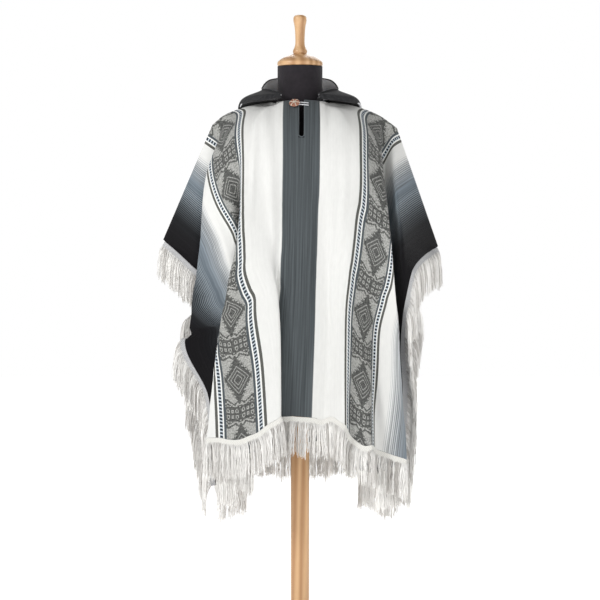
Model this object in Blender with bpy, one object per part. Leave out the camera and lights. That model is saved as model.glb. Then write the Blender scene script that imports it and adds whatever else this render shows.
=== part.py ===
"""Andean poncho with a laid-down hood, on a limbless dress form and its stand.

Units are metres, +Z is up and the front of the garment faces -Y. The origin is
the centre of the base's underside. The cloth is one woven width folded over
the shoulders. A point of the flat cloth is (across, down): across is measured
from the middle of the garment and down from the fold line over the shoulders.

Between the neck and a shoulder point the threads hang straight down. Outside
the shoulder point they fan out like a cone. A fold line is stated by where it
stands in plan at a few reaches down the cloth, and heights follow from the
length of cloth that hangs along each thread or ray of the fan.
"""

import math
from collections import namedtuple

import bmesh
import bpy
import numpy as np
from mathutils.bvhtree import BVHTree

# ---------------------------------------------------------------- cloth sizes
WALL = 0.002              # thickness of the woven cloth
HALF_WIDTH = 0.575        # middle of the garment to its side edge
FRONT_LENGTH = 0.895      # shoulder fold to the front hem
BACK_LENGTH = 0.955       # shoulder fold to the back hem
SEAM_GAP = 0.0003         # gap between two pieces that are sewn together
NECK_HALF_WIDTH = 0.070   # half the neck opening along the shoulder fold
NECK_PUSH_REACH = 0.12    # length of cloth over which the neck's push dies away
NECK_PUSH_SPREAD = 0.5    # how much wider the push gets for each length of cloth down
SLIT_HALF_WIDTH = 0.008   # half the gap of the front neck slit
FOLD_ROUNDING = 0.016     # half the length of cloth that a fold turns over

# ------------------------------------------------------------- fringe sizes
TAPE_HEIGHT = 0.014       # fringe tape, measured away from the cloth's edge
TAPE_THICKNESS = 0.0024
TAPE_GAP = 0.0005         # seam gap between the cloth's edge and its tape
TWIST_GAP = 0.0009        # and this much more for each radian that the edge turns over
FRINGE_LENGTH = 0.085     # hanging length of a lock below its tape
LOCK_GAP = 0.0046         # gap between the roots of two locks
LOCK_ROUNDING = 0.35      # a stretch of edge has a lock more for this share of the pitch left over
LOCK_TIP_SHARE = 0.62     # width of a lock's tip as a share of its root
LOCK_CLEARANCE = 0.006    # a lock's tip stays this far from any panel it would meet
LEAST_TAPE = 0.25         # a tape that would meet a panel keeps at least this share of its height
LEAST_LOCK = 0.3          # a lock with less of its length free is left out
LEAST_DEPTH = 0.0008      # so is one whose root is edge on to the way that it hangs
TIGHT_CELL = 0.007        # where columns are closer than this, the tape heads one way for both
LOCK_DROOP = 1.3          # how far a lock turns from its cloth towards the ground
RAY_START = 0.0008        # a test for free room starts this far from the root
LEAST_RUN = 0.3           # the tape's outer edge runs at least this share of its inner edge
TAPE_DRAWN_IN = 0.8       # where it would not, its height is cut to this share again and again
TAPE_TRIES = 20
TIP_CLEARANCE = 0.012     # the side tapes start this far from the arm fold's tip
MOST_CLEARANCE = 0.6      # or at the second column, where that is more than this share of the way
SHARP_TURN = 0.5          # cosine of the turn between two columns past which the tape's way is evened
TURN_PASSES = 3
HEM_PITCH = 0.024
SIDE_PITCH = 0.036

# ------------------------------------------------------------- stand and form
BASE_RADIUS = 0.19
BASE_HEIGHT = 0.028
POLE_RADIUS = 0.024
TORSO_BOTTOM = 0.86
NECK_TOP = 1.566
CAP_TOP = 1.598

REACHES = (0.0, 0.14, 0.335, 0.60, 0.90)

# The neck hole: its depth below the shoulder fold in the middle, and how far
# the neck pushes the cloth out there.
Neck = namedtuple("Neck", "depth push")
FRONT_NECK = Neck(0.062, 0.019)
BACK_NECK = Neck(0.045, 0.036)

# A fold line of one side. top: where it starts on the shoulder fold. ray: the
# fan angle in degrees of a line that runs off the side edge, or None. The four
# plan points (outward, forward) are at the reaches 0.14, 0.335, 0.60 and 0.90.
Fold = namedtuple("Fold", "name top ray at_14 at_34 at_60 at_90")

# A point of the side edge: length of cloth down from the shoulder fold, then
# its plan point (outward, forward).
EdgePoint = namedtuple("EdgePoint", "down outward forward")

Side = namedtuple("Side", "name sign shoulder_out shoulder_z tip_out tip_forward")

LEFT = Side("left", -1.0, 0.231, 1.414, 0.364, -0.115)
RIGHT = Side("right", 1.0, 0.247, 1.406, 0.356, -0.040)
CLOTH_SHIFT = 0.004       # the garment hangs this far to the right of the pole

FRONT_LEFT_FOLDS = (
    Fold("middle", 0.000, None, (0.000, 0.125), (0.003, 0.150), (0.009, 0.165), (0.023, 0.165)),
    Fold("stripe valley", 0.035, None, (0.055, 0.125), (0.058, 0.150), (0.070, 0.150), (0.085, 0.155)),
    Fold("stripe ridge", 0.066, None, (0.095, 0.124), (0.100, 0.152), (0.055, 0.178), (0.047, 0.200)),
    Fold("band ridge", 0.140, None, (0.150, 0.112), (0.160, 0.162), (0.212, 0.172), (0.248, 0.185)),
    Fold("band valley", 0.160, None, (0.163, 0.100), (0.148, 0.105), (0.100, 0.125), (0.115, 0.130)),
    Fold("side fall", 0.182, None, (0.205, 0.083), (0.168, 0.132), (0.200, 0.095), (0.170, 0.105)),
    Fold("arm ridge", 0.200, 54, (0.248, 0.036), (0.268, 0.050), (0.299, 0.045), (0.299, 0.045)),
    Fold("arm valley", 0.212, 44, (0.205, 0.006), (0.182, 0.012), (0.190, 0.008), (0.190, 0.008)),
    Fold("arm fall", 0.222, 27, (0.262, -0.016), (0.270, -0.022), (0.270, -0.022), (0.270, -0.022)),
)
FRONT_LEFT_EDGE = (
    EdgePoint(0.000, 0.364, -0.115),
    EdgePoint(0.170, 0.271, -0.022),
    EdgePoint(0.332, 0.190, 0.008),
    EdgePoint(0.474, 0.297, 0.044),
    EdgePoint(0.671, 0.240, 0.050),
    EdgePoint(0.900, 0.225, 0.070),
)

FRONT_RIGHT_FOLDS = (
    Fold("middle", 0.000, None, (0.000, 0.125), (-0.003, 0.150), (-0.009, 0.165), (-0.023, 0.165)),
    Fold("white valley", 0.066, None, (0.075, 0.125), (0.070, 0.150), (0.075, 0.142), (0.062, 0.150)),
    Fold("strip ridge", 0.145, None, (0.158, 0.115), (0.135, 0.160), (0.113, 0.185), (0.112, 0.200)),
    Fold("strip valley", 0.160, None, (0.178, 0.102), (0.155, 0.150), (0.133, 0.165), (0.122, 0.172)),
    Fold("band ridge", 0.178, None, (0.195, 0.092), (0.185, 0.155), (0.165, 0.150), (0.178, 0.205)),
    Fold("band valley", 0.191, None, (0.203, 0.085), (0.208, 0.158), (0.180, 0.128), (0.190, 0.155)),
    Fold("fall ridge", 0.204, None, (0.212, 0.075), (0.229, 0.165), (0.252, 0.168), (0.273, 0.175)),
    Fold("fall valley", 0.216, None, (0.190, 0.045), (0.165, 0.070), (0.165, 0.075), (0.190, 0.095)),
    Fold("arm valley", 0.227, 66, (0.212, 0.038), (0.222, 0.082), (0.222, 0.084), (0.265, 0.064)),
    Fold("arm ridge", 0.238, 50, (0.238, 0.075), (0.254, 0.165), (0.262, 0.130), (0.262, 0.130)),
)
FRONT_RIGHT_EDGE = (
    EdgePoint(0.000, 0.356, -0.040),
    EdgePoint(0.190, 0.294, 0.115),
    EdgePoint(0.285, 0.279, 0.145),
    EdgePoint(0.391, 0.261, 0.140),
    EdgePoint(0.500, 0.254, 0.100),
    EdgePoint(0.620, 0.260, 0.082),
    EdgePoint(0.900, 0.250, 0.060),
)

BACK_LEFT_FOLDS = (
    Fold("middle", 0.000, None, (0.000, 0.118), (0.000, 0.160), (0.000, 0.175), (0.000, 0.180)),
    Fold("inner ridge", 0.066, None, (0.075, 0.118), (0.075, 0.165), (0.062, 0.200), (0.062, 0.215)),
    Fold("inner valley", 0.130, None, (0.130, 0.115), (0.115, 0.155), (0.102, 0.165), (0.106, 0.165)),
    Fold("outer ridge", 0.170, None, (0.190, 0.125), (0.215, 0.215), (0.240, 0.235), (0.235, 0.245)),
    Fold("outer valley", 0.193, None, (0.200, 0.085), (0.160, 0.120), (0.140, 0.105), (0.145, 0.110)),
    Fold("arm ridge", 0.210, 55, (0.262, 0.110), (0.288, 0.175), (0.285, 0.140), (0.285, 0.140)),
    Fold("arm valley", 0.221, 35, (0.240, 0.055), (0.225, 0.075), (0.235, 0.085), (0.235, 0.085)),
)
BACK_RIGHT_FOLDS = (
    Fold("middle", 0.000, None, (0.000, 0.118), (0.000, 0.160), (0.000, 0.175), (0.000, 0.180)),
    Fold("inner ridge", 0.066, None, (0.075, 0.118), (0.068, 0.165), (0.050, 0.198), (0.048, 0.210)),
    Fold("inner valley", 0.130, None, (0.130, 0.115), (0.108, 0.155), (0.092, 0.165), (0.094, 0.165)),
    Fold("outer ridge", 0.170, None, (0.190, 0.125), (0.218, 0.212), (0.246, 0.230), (0.244, 0.240)),
    Fold("outer valley", 0.193, None, (0.200, 0.085), (0.162, 0.120), (0.142, 0.105), (0.148, 0.110)),
    Fold("arm ridge", 0.210, 55, (0.262, 0.110), (0.288, 0.175), (0.285, 0.140), (0.285, 0.140)),
    Fold("arm valley", 0.221, 35, (0.240, 0.055), (0.225, 0.075), (0.235, 0.085), (0.235, 0.085)),
)
BACK_LEFT_EDGE = (
    EdgePoint(0.000, 0.364, 0.115),
    EdgePoint(0.110, 0.300, 0.096),
    EdgePoint(0.241, 0.232, 0.080),
    EdgePoint(0.370, 0.250, 0.112),
    EdgePoint(0.490, 0.283, 0.136),
    EdgePoint(0.670, 0.272, 0.104),
    EdgePoint(0.960, 0.225, 0.095),
)
BACK_RIGHT_EDGE = (
    EdgePoint(0.000, 0.356, 0.040),
    EdgePoint(0.110, 0.292, 0.080),
    EdgePoint(0.230, 0.230, 0.080),
    EdgePoint(0.350, 0.258, 0.110),
    EdgePoint(0.468, 0.285, 0.140),
    EdgePoint(0.670, 0.265, 0.115),
    EdgePoint(0.960, 0.240, 0.095),
)


# ------------------------------------------------------------ drape of a side
def smooth_through(knots, values, at):
    """Cubic Hermite curve through (knots, values), held flat past its ends."""
    knots = np.asarray(knots, float)
    values = np.asarray(values, float)
    slopes = np.gradient(values, knots)
    at = np.clip(at, knots[0], knots[-1])
    k = np.clip(np.searchsorted(knots, at) - 1, 0, len(knots) - 2)
    span = knots[k + 1] - knots[k]
    t = (at - knots[k]) / span
    return ((2 * t**3 - 3 * t**2 + 1) * values[k] + (t**3 - 2 * t**2 + t) * span * slopes[k]
            + (3 * t**2 - 2 * t**3) * values[k + 1] + (t**3 - t**2) * span * slopes[k + 1])


class SideDrape:
    """One side of the front or the back panel, from the middle to its edge."""

    RAYS = 61
    THREADS = 31
    STEPS_TO_TIP = 44
    STEPS_PAST_TIP = 100
    PAST_EDGE = 0.04      # the drape is worked out this far past the side edge

    def __init__(self, side, folds, edge, facing, length, neck):
        self.side = side
        self.neck = neck
        self.folds = folds
        self.edge = edge
        self.facing = facing
        self.fan = HALF_WIDTH - side.shoulder_out
        self.reach_end = math.hypot(self.fan, length)
        self.reaches = np.concatenate([np.linspace(0.0, self.fan, self.STEPS_TO_TIP)[:-1],
                                       np.hypot(self.fan, np.linspace(0.0, length, self.STEPS_PAST_TIP))])
        self._hang()

    def edge_plan(self, reach):
        """Plan point of the cloth's outer end at one reach: arm fold or side edge."""
        side = self.side
        if reach <= self.fan:
            t = reach / self.fan
            out = side.shoulder_out + t * (side.tip_out - side.shoulder_out)
            return out, t * side.tip_forward * self.facing
        down = math.sqrt(reach**2 - self.fan**2)
        downs = [p.down for p in self.edge]
        out = smooth_through(downs, [p.outward for p in self.edge], down)
        forward = smooth_through(downs, [p.forward for p in self.edge], down)
        return float(out), float(forward)

    def section(self, reach):
        """Flat distances from the middle and plan points of the folds at one reach."""
        points = []
        for fold in self.folds:
            if self._ended(fold, reach):
                continue
            rows = ((fold.top, 0.0), fold.at_14, fold.at_34, fold.at_60, fold.at_90)
            out = smooth_through(REACHES, [r[0] for r in rows], reach)
            forward = smooth_through(REACHES, [r[1] for r in rows], reach)
            points.append((float(out), float(forward)))
        points.append(self.edge_plan(reach))
        plan = np.array(points)
        laid = np.concatenate([[0.0], np.cumsum(np.hypot(*np.diff(plan, axis=0).T))])
        spread = math.pi / 2 - math.acos(min(1.0, self.fan / max(reach, 1e-6)))
        flat = self.side.shoulder_out + reach * spread
        return laid * flat / laid[-1], plan, flat

    def rounded(self, knots, plan, flat, at):
        """Plan points at flat distances, with every fold turned over a length."""
        total = np.zeros((len(at), 2))
        offsets = (-1.0, -0.5, 0.0, 0.5, 1.0)
        weights = (1, 4, 6, 4, 1)
        for offset, weight in zip(offsets, weights):
            where = at + offset * FOLD_ROUNDING
            inside = np.clip(where, 0.0, flat)
            for axis in (0, 1):
                value = np.interp(inside, knots, plan[:, axis])
                mirror = np.interp(np.clip(2 * inside - where, 0.0, flat), knots, plan[:, axis])
                total[:, axis] += weight * (2 * value - mirror)
        return total / sum(weights)

    def _hang(self):
        """Work out the plan and height of every thread and ray of the fan."""
        side = self.side
        threads = np.linspace(0.0, side.shoulder_out, self.THREADS)
        rays = np.linspace(math.pi / 2, 0.0, self.RAYS)[1:]
        count = self.THREADS + self.RAYS - 1
        self.plan = np.zeros((count, len(self.reaches), 2))
        for i, reach in enumerate(self.reaches):
            knots, plan, flat = self.section(reach)
            at = np.concatenate([threads, side.shoulder_out + reach * (math.pi / 2 - rays)])
            self.plan[:, i] = self.rounded(knots, plan, flat, np.minimum(at, flat + self.PAST_EDGE))
        self.plan[: self.THREADS, :, 1] += self.neck_push(threads[:, None], self.reaches)
        step = np.diff(self.reaches)
        moved = np.hypot(*np.moveaxis(np.diff(self.plan, axis=1), 2, 0)) / step
        fall = np.sqrt(np.maximum(1.0 - moved**2, 0.04)) * step
        start = np.append(neck_edge(self.neck, threads), np.zeros(len(rays)))[:, None]
        fall *= np.clip((self.reaches[1:] - start) / step, 0.0, 1.0)
        top = np.concatenate([[shoulder_height(side, t) for t in threads],
                              np.full(len(rays), side.shoulder_z)])
        dropped = np.concatenate([np.zeros((count, 1)), np.cumsum(fall, axis=1)], axis=1)
        self.height = top[:, None] - dropped
        self.lines = count

    def neck_push(self, across, down):
        """How far the neck pushes the cloth out at a flat point."""
        spread = NECK_HALF_WIDTH + NECK_PUSH_SPREAD * down
        near = np.sqrt(np.clip(1.0 - (across / spread) ** 2, 0.0, 1.0))
        fade = np.clip(1.0 - (down - self.neck.depth) / NECK_PUSH_REACH, 0.0, 1.0)
        return self.neck.push * near * fade**1.6

    def flat_of(self, reach, laid):
        """Flat point at a reach and a length laid out from the middle."""
        start = self.side.shoulder_out
        if laid <= start or reach <= 0.0:
            return min(laid, start), reach
        turn = math.pi / 2 - (laid - start) / reach
        return start + reach * math.cos(turn), reach * math.sin(turn)

    def knots(self, reach):
        """Flat distance from the middle of each fold still on the cloth, by name."""
        laid, _, flat = self.section(reach)
        found = dict(zip([f.name for f in self.folds if not self._ended(f, reach)], laid))
        return found, flat

    def _ended(self, fold, reach):
        return fold.ray is not None and reach >= self.fan / math.cos(math.radians(fold.ray))

    def place(self, across, down):
        """World points of the flat points (across >= 0, down)."""
        side = self.side
        past = np.maximum(across - side.shoulder_out, 0.0)
        reach = np.hypot(past, down)
        angle = np.where(past > 0, np.arctan2(down, np.maximum(past, 1e-9)), math.pi / 2)
        thread = np.minimum(across / side.shoulder_out, 1.0) * (self.THREADS - 1)
        ray = (1.0 - angle / (math.pi / 2)) * (self.RAYS - 1)
        line = np.where(past > 0, self.THREADS - 1 + ray, thread)
        row = np.interp(reach, self.reaches, np.arange(len(self.reaches)))
        i = np.clip(line.astype(int), 0, self.lines - 2)
        j = np.clip(row.astype(int), 0, len(self.reaches) - 2)
        a, b = (line - i)[..., None], (row - j)[..., None]
        field = np.concatenate([self.plan, self.height[..., None]], axis=2)
        found = ((1 - a) * (1 - b) * field[i, j] + a * (1 - b) * field[i + 1, j]
                 + (1 - a) * b * field[i, j + 1] + a * b * field[i + 1, j + 1])
        x = side.sign * found[..., 0] + CLOTH_SHIFT
        y = -self.facing * found[..., 1]
        return np.stack([x, y, found[..., 2]], axis=-1)


def neck_edge(neck, across):
    """How far below the shoulder fold the neck hole reaches."""
    return neck.depth * np.sqrt(np.clip(1.0 - (across / NECK_HALF_WIDTH) ** 2, 0.0, 1.0))


def shoulder_height(side, out):
    """Height of the shoulder fold between the neck and the shoulder point."""
    rise = (0.0, 0.13, 0.167, 0.205)
    drop = (1.474, 1.464, 1.453, 1.436)
    return float(smooth_through(rise + (side.shoulder_out,), drop + (side.shoulder_z,), out))


class Panel:
    """The front or the back: a drape for each side."""

    def __init__(self, facing, length, neck, folds, edges):
        self.facing = facing
        self.length = length
        self.neck = neck
        self.sides = {side.sign: SideDrape(side, folds[side.name], edges[side.name], facing, length, neck)
                      for side in (LEFT, RIGHT)}

    def place(self, across, down):
        """World points of flat points, across from -HALF_WIDTH to HALF_WIDTH."""
        across, down = np.broadcast_arrays(np.asarray(across, float), np.asarray(down, float))
        left = self.sides[-1.0].place(np.abs(across), down)
        right = self.sides[1.0].place(np.abs(across), down)
        return np.where((across < 0)[..., None], left, right)


FRONT = Panel(1.0, FRONT_LENGTH, FRONT_NECK, {"left": FRONT_LEFT_FOLDS, "right": FRONT_RIGHT_FOLDS},
              {"left": FRONT_LEFT_EDGE, "right": FRONT_RIGHT_EDGE})
BACK = Panel(-1.0, BACK_LENGTH, BACK_NECK, {"left": BACK_LEFT_FOLDS, "right": BACK_RIGHT_FOLDS},
             {"left": BACK_LEFT_EDGE, "right": BACK_RIGHT_EDGE})


# ------------------------------------------------------------- mesh building
def add_object(name, vertices, faces, colour, roughness, metallic=0.0, smooth_deg=50):
    """One named object with its own Principled material."""
    mesh = bpy.data.meshes.new(name)
    mesh.from_pydata([tuple(map(float, v)) for v in vertices], [], faces)
    shape = bmesh.new()
    shape.from_mesh(mesh)
    bmesh.ops.recalc_face_normals(shape, faces=shape.faces)
    shape.to_mesh(mesh)
    shape.free()
    mesh.shade_smooth()
    mesh.set_sharp_from_angle(angle=math.radians(smooth_deg))
    material = bpy.data.materials.new(name)
    material.use_nodes = True
    shader = material.node_tree.nodes["Principled BSDF"]
    shader.inputs["Base Color"].default_value = (*colour, 1.0)
    shader.inputs["Roughness"].default_value = roughness
    shader.inputs["Metallic"].default_value = metallic
    mesh.materials.append(material)
    made = bpy.data.objects.new(name, mesh)
    bpy.context.scene.collection.objects.link(made)
    return made


def unit(vectors):
    """Vectors of length one."""
    return vectors / np.maximum(np.linalg.norm(vectors, axis=-1, keepdims=True), 1e-9)


def grid_normals(points):
    """Directions at a grid's points, each halfway between those of its cells."""
    rising = points[1:, 1:] - points[:-1, :-1]
    falling = points[1:, :-1] - points[:-1, 1:]
    cells = unit(np.cross(rising, falling))
    total = np.zeros_like(points)
    total[:-1, :-1] += cells
    total[:-1, 1:] += cells
    total[1:, :-1] += cells
    total[1:, 1:] += cells
    return unit(total)


def wall_from_grid(points, normal, thickness, keep=None):
    """Vertices and faces of a closed wall about a grid of middle points."""
    rows, cols = points.shape[:2]
    if keep is None:
        keep = np.ones((rows - 1, cols - 1), bool)
    outer = (points + normal * thickness / 2).reshape(-1, 3)
    inner = (points - normal * thickness / 2).reshape(-1, 3)
    count = rows * cols
    faces, edges = [], {}
    for i, j in zip(*np.nonzero(keep)):
        loop = [i * cols + j, i * cols + j + 1, (i + 1) * cols + j + 1, (i + 1) * cols + j]
        faces.append(tuple(loop))
        faces.append(tuple(v + count for v in reversed(loop)))
        for a, b in zip(loop, loop[1:] + loop[:1]):
            edges[a, b] = True
    for a, b in edges:
        if (b, a) not in edges:
            faces.append((b, a, a + count, b + count))
    return drop_unused(np.concatenate([outer, inner]), faces)


def drop_unused(vertices, faces):
    """The same faces over only the vertices that they use."""
    used = sorted({v for face in faces for v in face})
    renumber = {v: k for k, v in enumerate(used)}
    return vertices[used], [tuple(renumber[v] for v in face) for face in faces]


def turned(name, profile, colour, roughness, segments=28, smooth_deg=50):
    """A solid of revolution about Z from (radius, height) pairs, bottom to top."""
    vertices, faces = [], []
    for radius, height in profile:
        for k in range(segments):
            angle = 2 * math.pi * k / segments
            vertices.append((radius * math.cos(angle), radius * math.sin(angle), height))
    for i in range(len(profile) - 1):
        for k in range(segments):
            n = (k + 1) % segments
            low, high = i * segments, (i + 1) * segments
            faces.append((low + k, low + n, high + n, high + k))
    top = (len(profile) - 1) * segments
    faces.append(tuple(reversed(range(segments))))
    faces.append(tuple(top + k for k in range(segments)))
    return add_object(name, vertices, faces, colour, roughness, smooth_deg=smooth_deg)


# -------------------------------------------------------------------- panels
ROW_SHARES = (0.0, 0.04, 0.088, 0.14, 0.185, 0.236, 0.300, 0.37, 0.45,
              0.535, 0.62, 0.70, 0.78, 0.86, 0.93, 1.0)
FLANK = 0.009                    # a fold has a column this far to each side of its line
FLANK_SHARE = 0.3                # but no further than this share of the way to the next line
SLIT_ROWS = 3                    # rows of the grid that the neck slit runs through
NARROW_FOLDS = ("stripe valley", "stripe ridge", "strip valley", "band ridge", "band valley", "fall ridge")


class SideGrid:
    """Columns of one side of a panel, laid along its fold lines."""

    def __init__(self, drape, length):
        self.drape = drape
        self.length = length
        hanging = [f.name for f in drape.folds if f.ray is None]
        arm = [f.name for f in drape.folds if f.ray is not None]
        self.ends = {f.name: drape.fan / math.cos(math.radians(f.ray)) for f in drape.folds if f.ray}
        self.lines = hanging + ["corner"] + arm + ["shoulder fold"]
        self.last_hanging, self.first_arm = hanging[-1], arm[0]
        corner_reach = math.hypot(drape.fan, length)
        corner_laid = drape.side.shoulder_out + corner_reach * math.asin(drape.fan / corner_reach)
        inner = self.line_at(self.last_hanging, corner_reach)
        outer = self.line_at(self.first_arm, corner_reach)
        self.corner_share = (corner_laid - inner) / (outer - inner)

    def line_at(self, name, reach):
        """Flat distance from the middle of a fold line, also past its end."""
        start = self.drape.side.shoulder_out
        if name == "middle":
            return SLIT_HALF_WIDTH
        if name == "shoulder fold":
            return start + reach * math.pi / 2
        if name == "corner":
            inner = self.line_at(self.last_hanging, reach)
            outer = self.line_at(self.first_arm, reach)
            return inner + self.corner_share * (outer - inner)
        found, flat = self.drape.knots(reach)
        if name in self.ends:
            end = self.ends[name]
            at_end = start + end * (math.pi / 2 - math.acos(self.drape.fan / end))
            near = min(1.0, (reach / end) ** 6)
            ray = start + reach * (at_end - start) / end
            return ray if name not in found else found[name] * (1 - near) + ray * near
        return found[name]

    def laid_at(self, line, place, reach):
        """Flat distance from the middle of a column, stated against a fold line."""
        here = self.line_at(self.lines[line], reach)
        if place == "on":
            return here
        there = self.line_at(self.lines[line + (-1 if place == "before" else 1)], reach)
        if place == "between":
            return (here + there) / 2
        span = max(abs(there - here), 1e-9)
        return here + (there - here) * min(FLANK_SHARE, FLANK / span)

    def end_of(self, line, place):
        """Reach at which a column leaves the cloth."""
        near, far = 0.0, self.drape.reach_end
        for _ in range(26):
            reach = (near + far) / 2
            across, down = self.drape.flat_of(reach, self.laid_at(line, place, reach))
            if down > self.length or across > HALF_WIDTH:
                far = reach
            else:
                near = reach
        return (near + far) / 2

    def places(self):
        """Every column of the side: a fold line's index and a place against it."""
        made = []
        for line, name in enumerate(self.lines):
            exact = name in ("middle", "corner", "shoulder fold")
            made.extend([(line, "on")] if exact else [(line, "before"), (line, "after")])
            if line + 1 < len(self.lines) and self.lines[line + 1] not in NARROW_FOLDS:
                made.append((line, "between"))
        return made

    def columns(self):
        """Flat points (row, column, 2) from the middle to the shoulder fold."""
        return np.array([self.column(line, place) for line, place in self.places()]).transpose(1, 0, 2)

    def column(self, line, place):
        """Flat points of one column, from the shoulder fold to the cloth's edge."""
        end = self.end_of(line, place)
        top = self.laid_at(line, place, 0.0)
        start = float(neck_edge(self.drape.neck, top)) + SEAM_GAP / 2
        points = []
        for share in ROW_SHARES:
            reach = start + share * (end - start)
            across, down = self.drape.flat_of(reach, self.laid_at(line, place, reach))
            points.append((min(across, HALF_WIDTH), max(down, SEAM_GAP / 2)))
        return points


def seam_directions(across):
    """Wall directions along the shoulder fold, the same for the front and the back."""
    step = 0.01
    forward = FRONT.place(across, step) - BACK.place(across, step)
    inner = np.clip(across - step / 2, -HALF_WIDTH, HALF_WIDTH)
    outer = np.clip(across + step / 2, -HALF_WIDTH, HALF_WIDTH)
    along = FRONT.place(outer, 0.0) - FRONT.place(inner, 0.0)
    return unit(np.cross(forward, along))


class PanelMesh:
    """Grid of one panel: middle points, wall directions and the run of its edges."""

    def __init__(self, panel):
        left = SideGrid(panel.sides[-1.0], panel.length)
        right = SideGrid(panel.sides[1.0], panel.length)
        flat_left, flat_right = left.columns(), right.columns()
        flat_left[..., 0] *= -1.0
        self.flat = np.concatenate([flat_left[:, ::-1], flat_right], axis=1)
        self.points = panel.place(self.flat[..., 0], self.flat[..., 1])
        self.directions = grid_normals(self.points)
        on_seam = (self.flat[..., 1] < SEAM_GAP) & (np.abs(self.flat[..., 0]) > NECK_HALF_WIDTH)
        self.directions[on_seam] = -panel.facing * seam_directions(self.flat[on_seam, 0])
        self.middle = flat_left.shape[1]
        self.corners = (self.middle - 1 - self.corner_column(left), self.middle + self.corner_column(right))

    @staticmethod
    def corner_column(side_grid):
        """Index of the column that ends at the cloth's corner."""
        return side_grid.places().index((side_grid.lines.index("corner"), "on"))

    def run(self, edge):
        """Columns whose ends make one edge, in order."""
        low, high = self.corners
        return {"hem": range(low, high + 1), "left": range(0, low + 1),
                "right": range(high, self.points.shape[1])}[edge]


def build_panel(name, mesh, slit):
    """The front or back wall, with the neck slit left open where it has one."""
    points = mesh.points
    keep = np.ones((points.shape[0] - 1, points.shape[1] - 1), bool)
    if slit:
        keep[:SLIT_ROWS, mesh.middle - 1] = False
    vertices, faces = wall_from_grid(points, mesh.directions, WALL, keep)
    return add_object(name, vertices, faces, (0.80, 0.80, 0.78), 0.9)


# -------------------------------------------------------------------- fringe
def fringe(name, mesh, edge, pitch, trees):
    """A tape along one edge of a panel with locks that hang from it.

    Each stretch between two columns of the panel holds a whole number of
    locks. A lock is drawn out of a cell of the tape's outer face, so that the
    tape and its locks are one closed body.
    """
    columns = list(mesh.run(edge))
    share = 0.0
    if edge != "hem":
        tip, next_in = (0, 1) if edge == "left" else (-1, -2)
        beside, end = mesh.points[-1, columns[next_in]], mesh.points[-1, columns[tip]]
        share = TIP_CLEARANCE / np.linalg.norm(beside - end)
        if share > MOST_CLEARANCE:
            del columns[tip]
    rim = mesh.points[-1, columns]
    normal = mesh.directions[-1, columns]
    if 0.0 < share <= MOST_CLEARANCE:
        rim[tip] += share * (rim[next_in] - rim[tip])
        normal[tip] += share * (normal[next_in] - normal[tip])
    steps = unit(np.diff(rim, axis=0))
    turns = unit(np.concatenate([steps[:1], steps[:-1] + steps[1:], steps[-1:]]))
    away = rim - mesh.points[-2, columns]
    away = unit(away - turns * np.sum(away * turns, axis=1, keepdims=True))
    for _ in range(TURN_PASSES):
        for k in np.nonzero(np.sum(away[:-1] * away[1:], axis=1) < SHARP_TURN)[0]:
            away[k], away[k + 1] = unit(2 * away[k] + away[k + 1]), unit(away[k] + 2 * away[k + 1])
    for end in (0, -1):
        normal[end] = unit(normal[end] - turns[end] * np.dot(normal[end], turns[end]))
    twist = np.linalg.norm(np.diff(normal, axis=0), axis=1)
    spacing = TAPE_GAP + TWIST_GAP * np.maximum(np.append(twist, 0.0), np.append(0.0, twist))
    for k in np.nonzero(np.linalg.norm(np.diff(rim, axis=0), axis=1) < TIGHT_CELL)[0]:
        away[k:k + 2] = unit(away[k] + away[k + 1])
        normal[k:k + 2] = unit(normal[k] + normal[k + 1])
    away *= spacing[:, None]
    rims, offsets, half, tangents, is_lock = [], [], [], [], []
    for k in range(len(columns) - 1):
        length = np.linalg.norm(rim[k + 1] - rim[k])
        locks = int(length / pitch + LOCK_ROUNDING)
        gap = LOCK_GAP * locks / length / 2
        cells = ((0.0, False), (gap, True), (1 - gap, False)) if locks else ((0.0, False),)
        for n in range(max(locks, 1)):
            for share, drawn in cells:
                along = (n + share) / max(locks, 1)
                rims.append(rim[k] + along * (rim[k + 1] - rim[k]))
                offsets.append(away[k] + along * (away[k + 1] - away[k]))
                half.append((normal[k] + along * (normal[k + 1] - normal[k])) * TAPE_THICKNESS / 2)
                tangents.append(steps[k])
                is_lock.append(drawn)
    near = np.array(rims + [rim[-1]]) + np.array(offsets + [away[-1]])
    outs = unit(np.array(offsets + [away[-1]]))
    half = np.array(half + [normal[-1] * TAPE_THICKNESS / 2])
    free = [min(free_share(trees, start + side, start + side + out * TAPE_HEIGHT) for side in (thick, -thick))
            for start, thick, out in zip(near, half, outs)]
    far = tape_edge(near, outs, TAPE_HEIGHT * np.clip(free, LEAST_TAPE, 1.0))
    vertices = [v for corner in (near + half, near - half, far - half, far + half) for v in corner]
    count = len(near)
    faces = [(0, 3 * count, 2 * count, count),
             (count - 1, 2 * count - 1, 3 * count - 1, 4 * count - 1)]
    outer_faces = []
    for k in range(count - 1):
        for ring in (0, 1, 3):
            a, b = ring * count + k, ((ring + 1) % 4) * count + k
            faces.append((a, b, b + 1, a + 1))
        outer_faces.append((2 * count + k, 3 * count + k, 3 * count + k + 1, 2 * count + k + 1))
    for k, outer in enumerate(outer_faces):
        drawn = None
        if is_lock[k]:
            made = BVHTree.FromPolygons([tuple(v) for v in vertices], faces + outer_faces[k + 1:])
            drawn = lock_faces(vertices, outer, outs[k], tangents[k], half[k], trees + [made])
        faces.extend(drawn or [outer])
    return add_object(name, vertices, faces, (0.74, 0.72, 0.69), 0.95)


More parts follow.
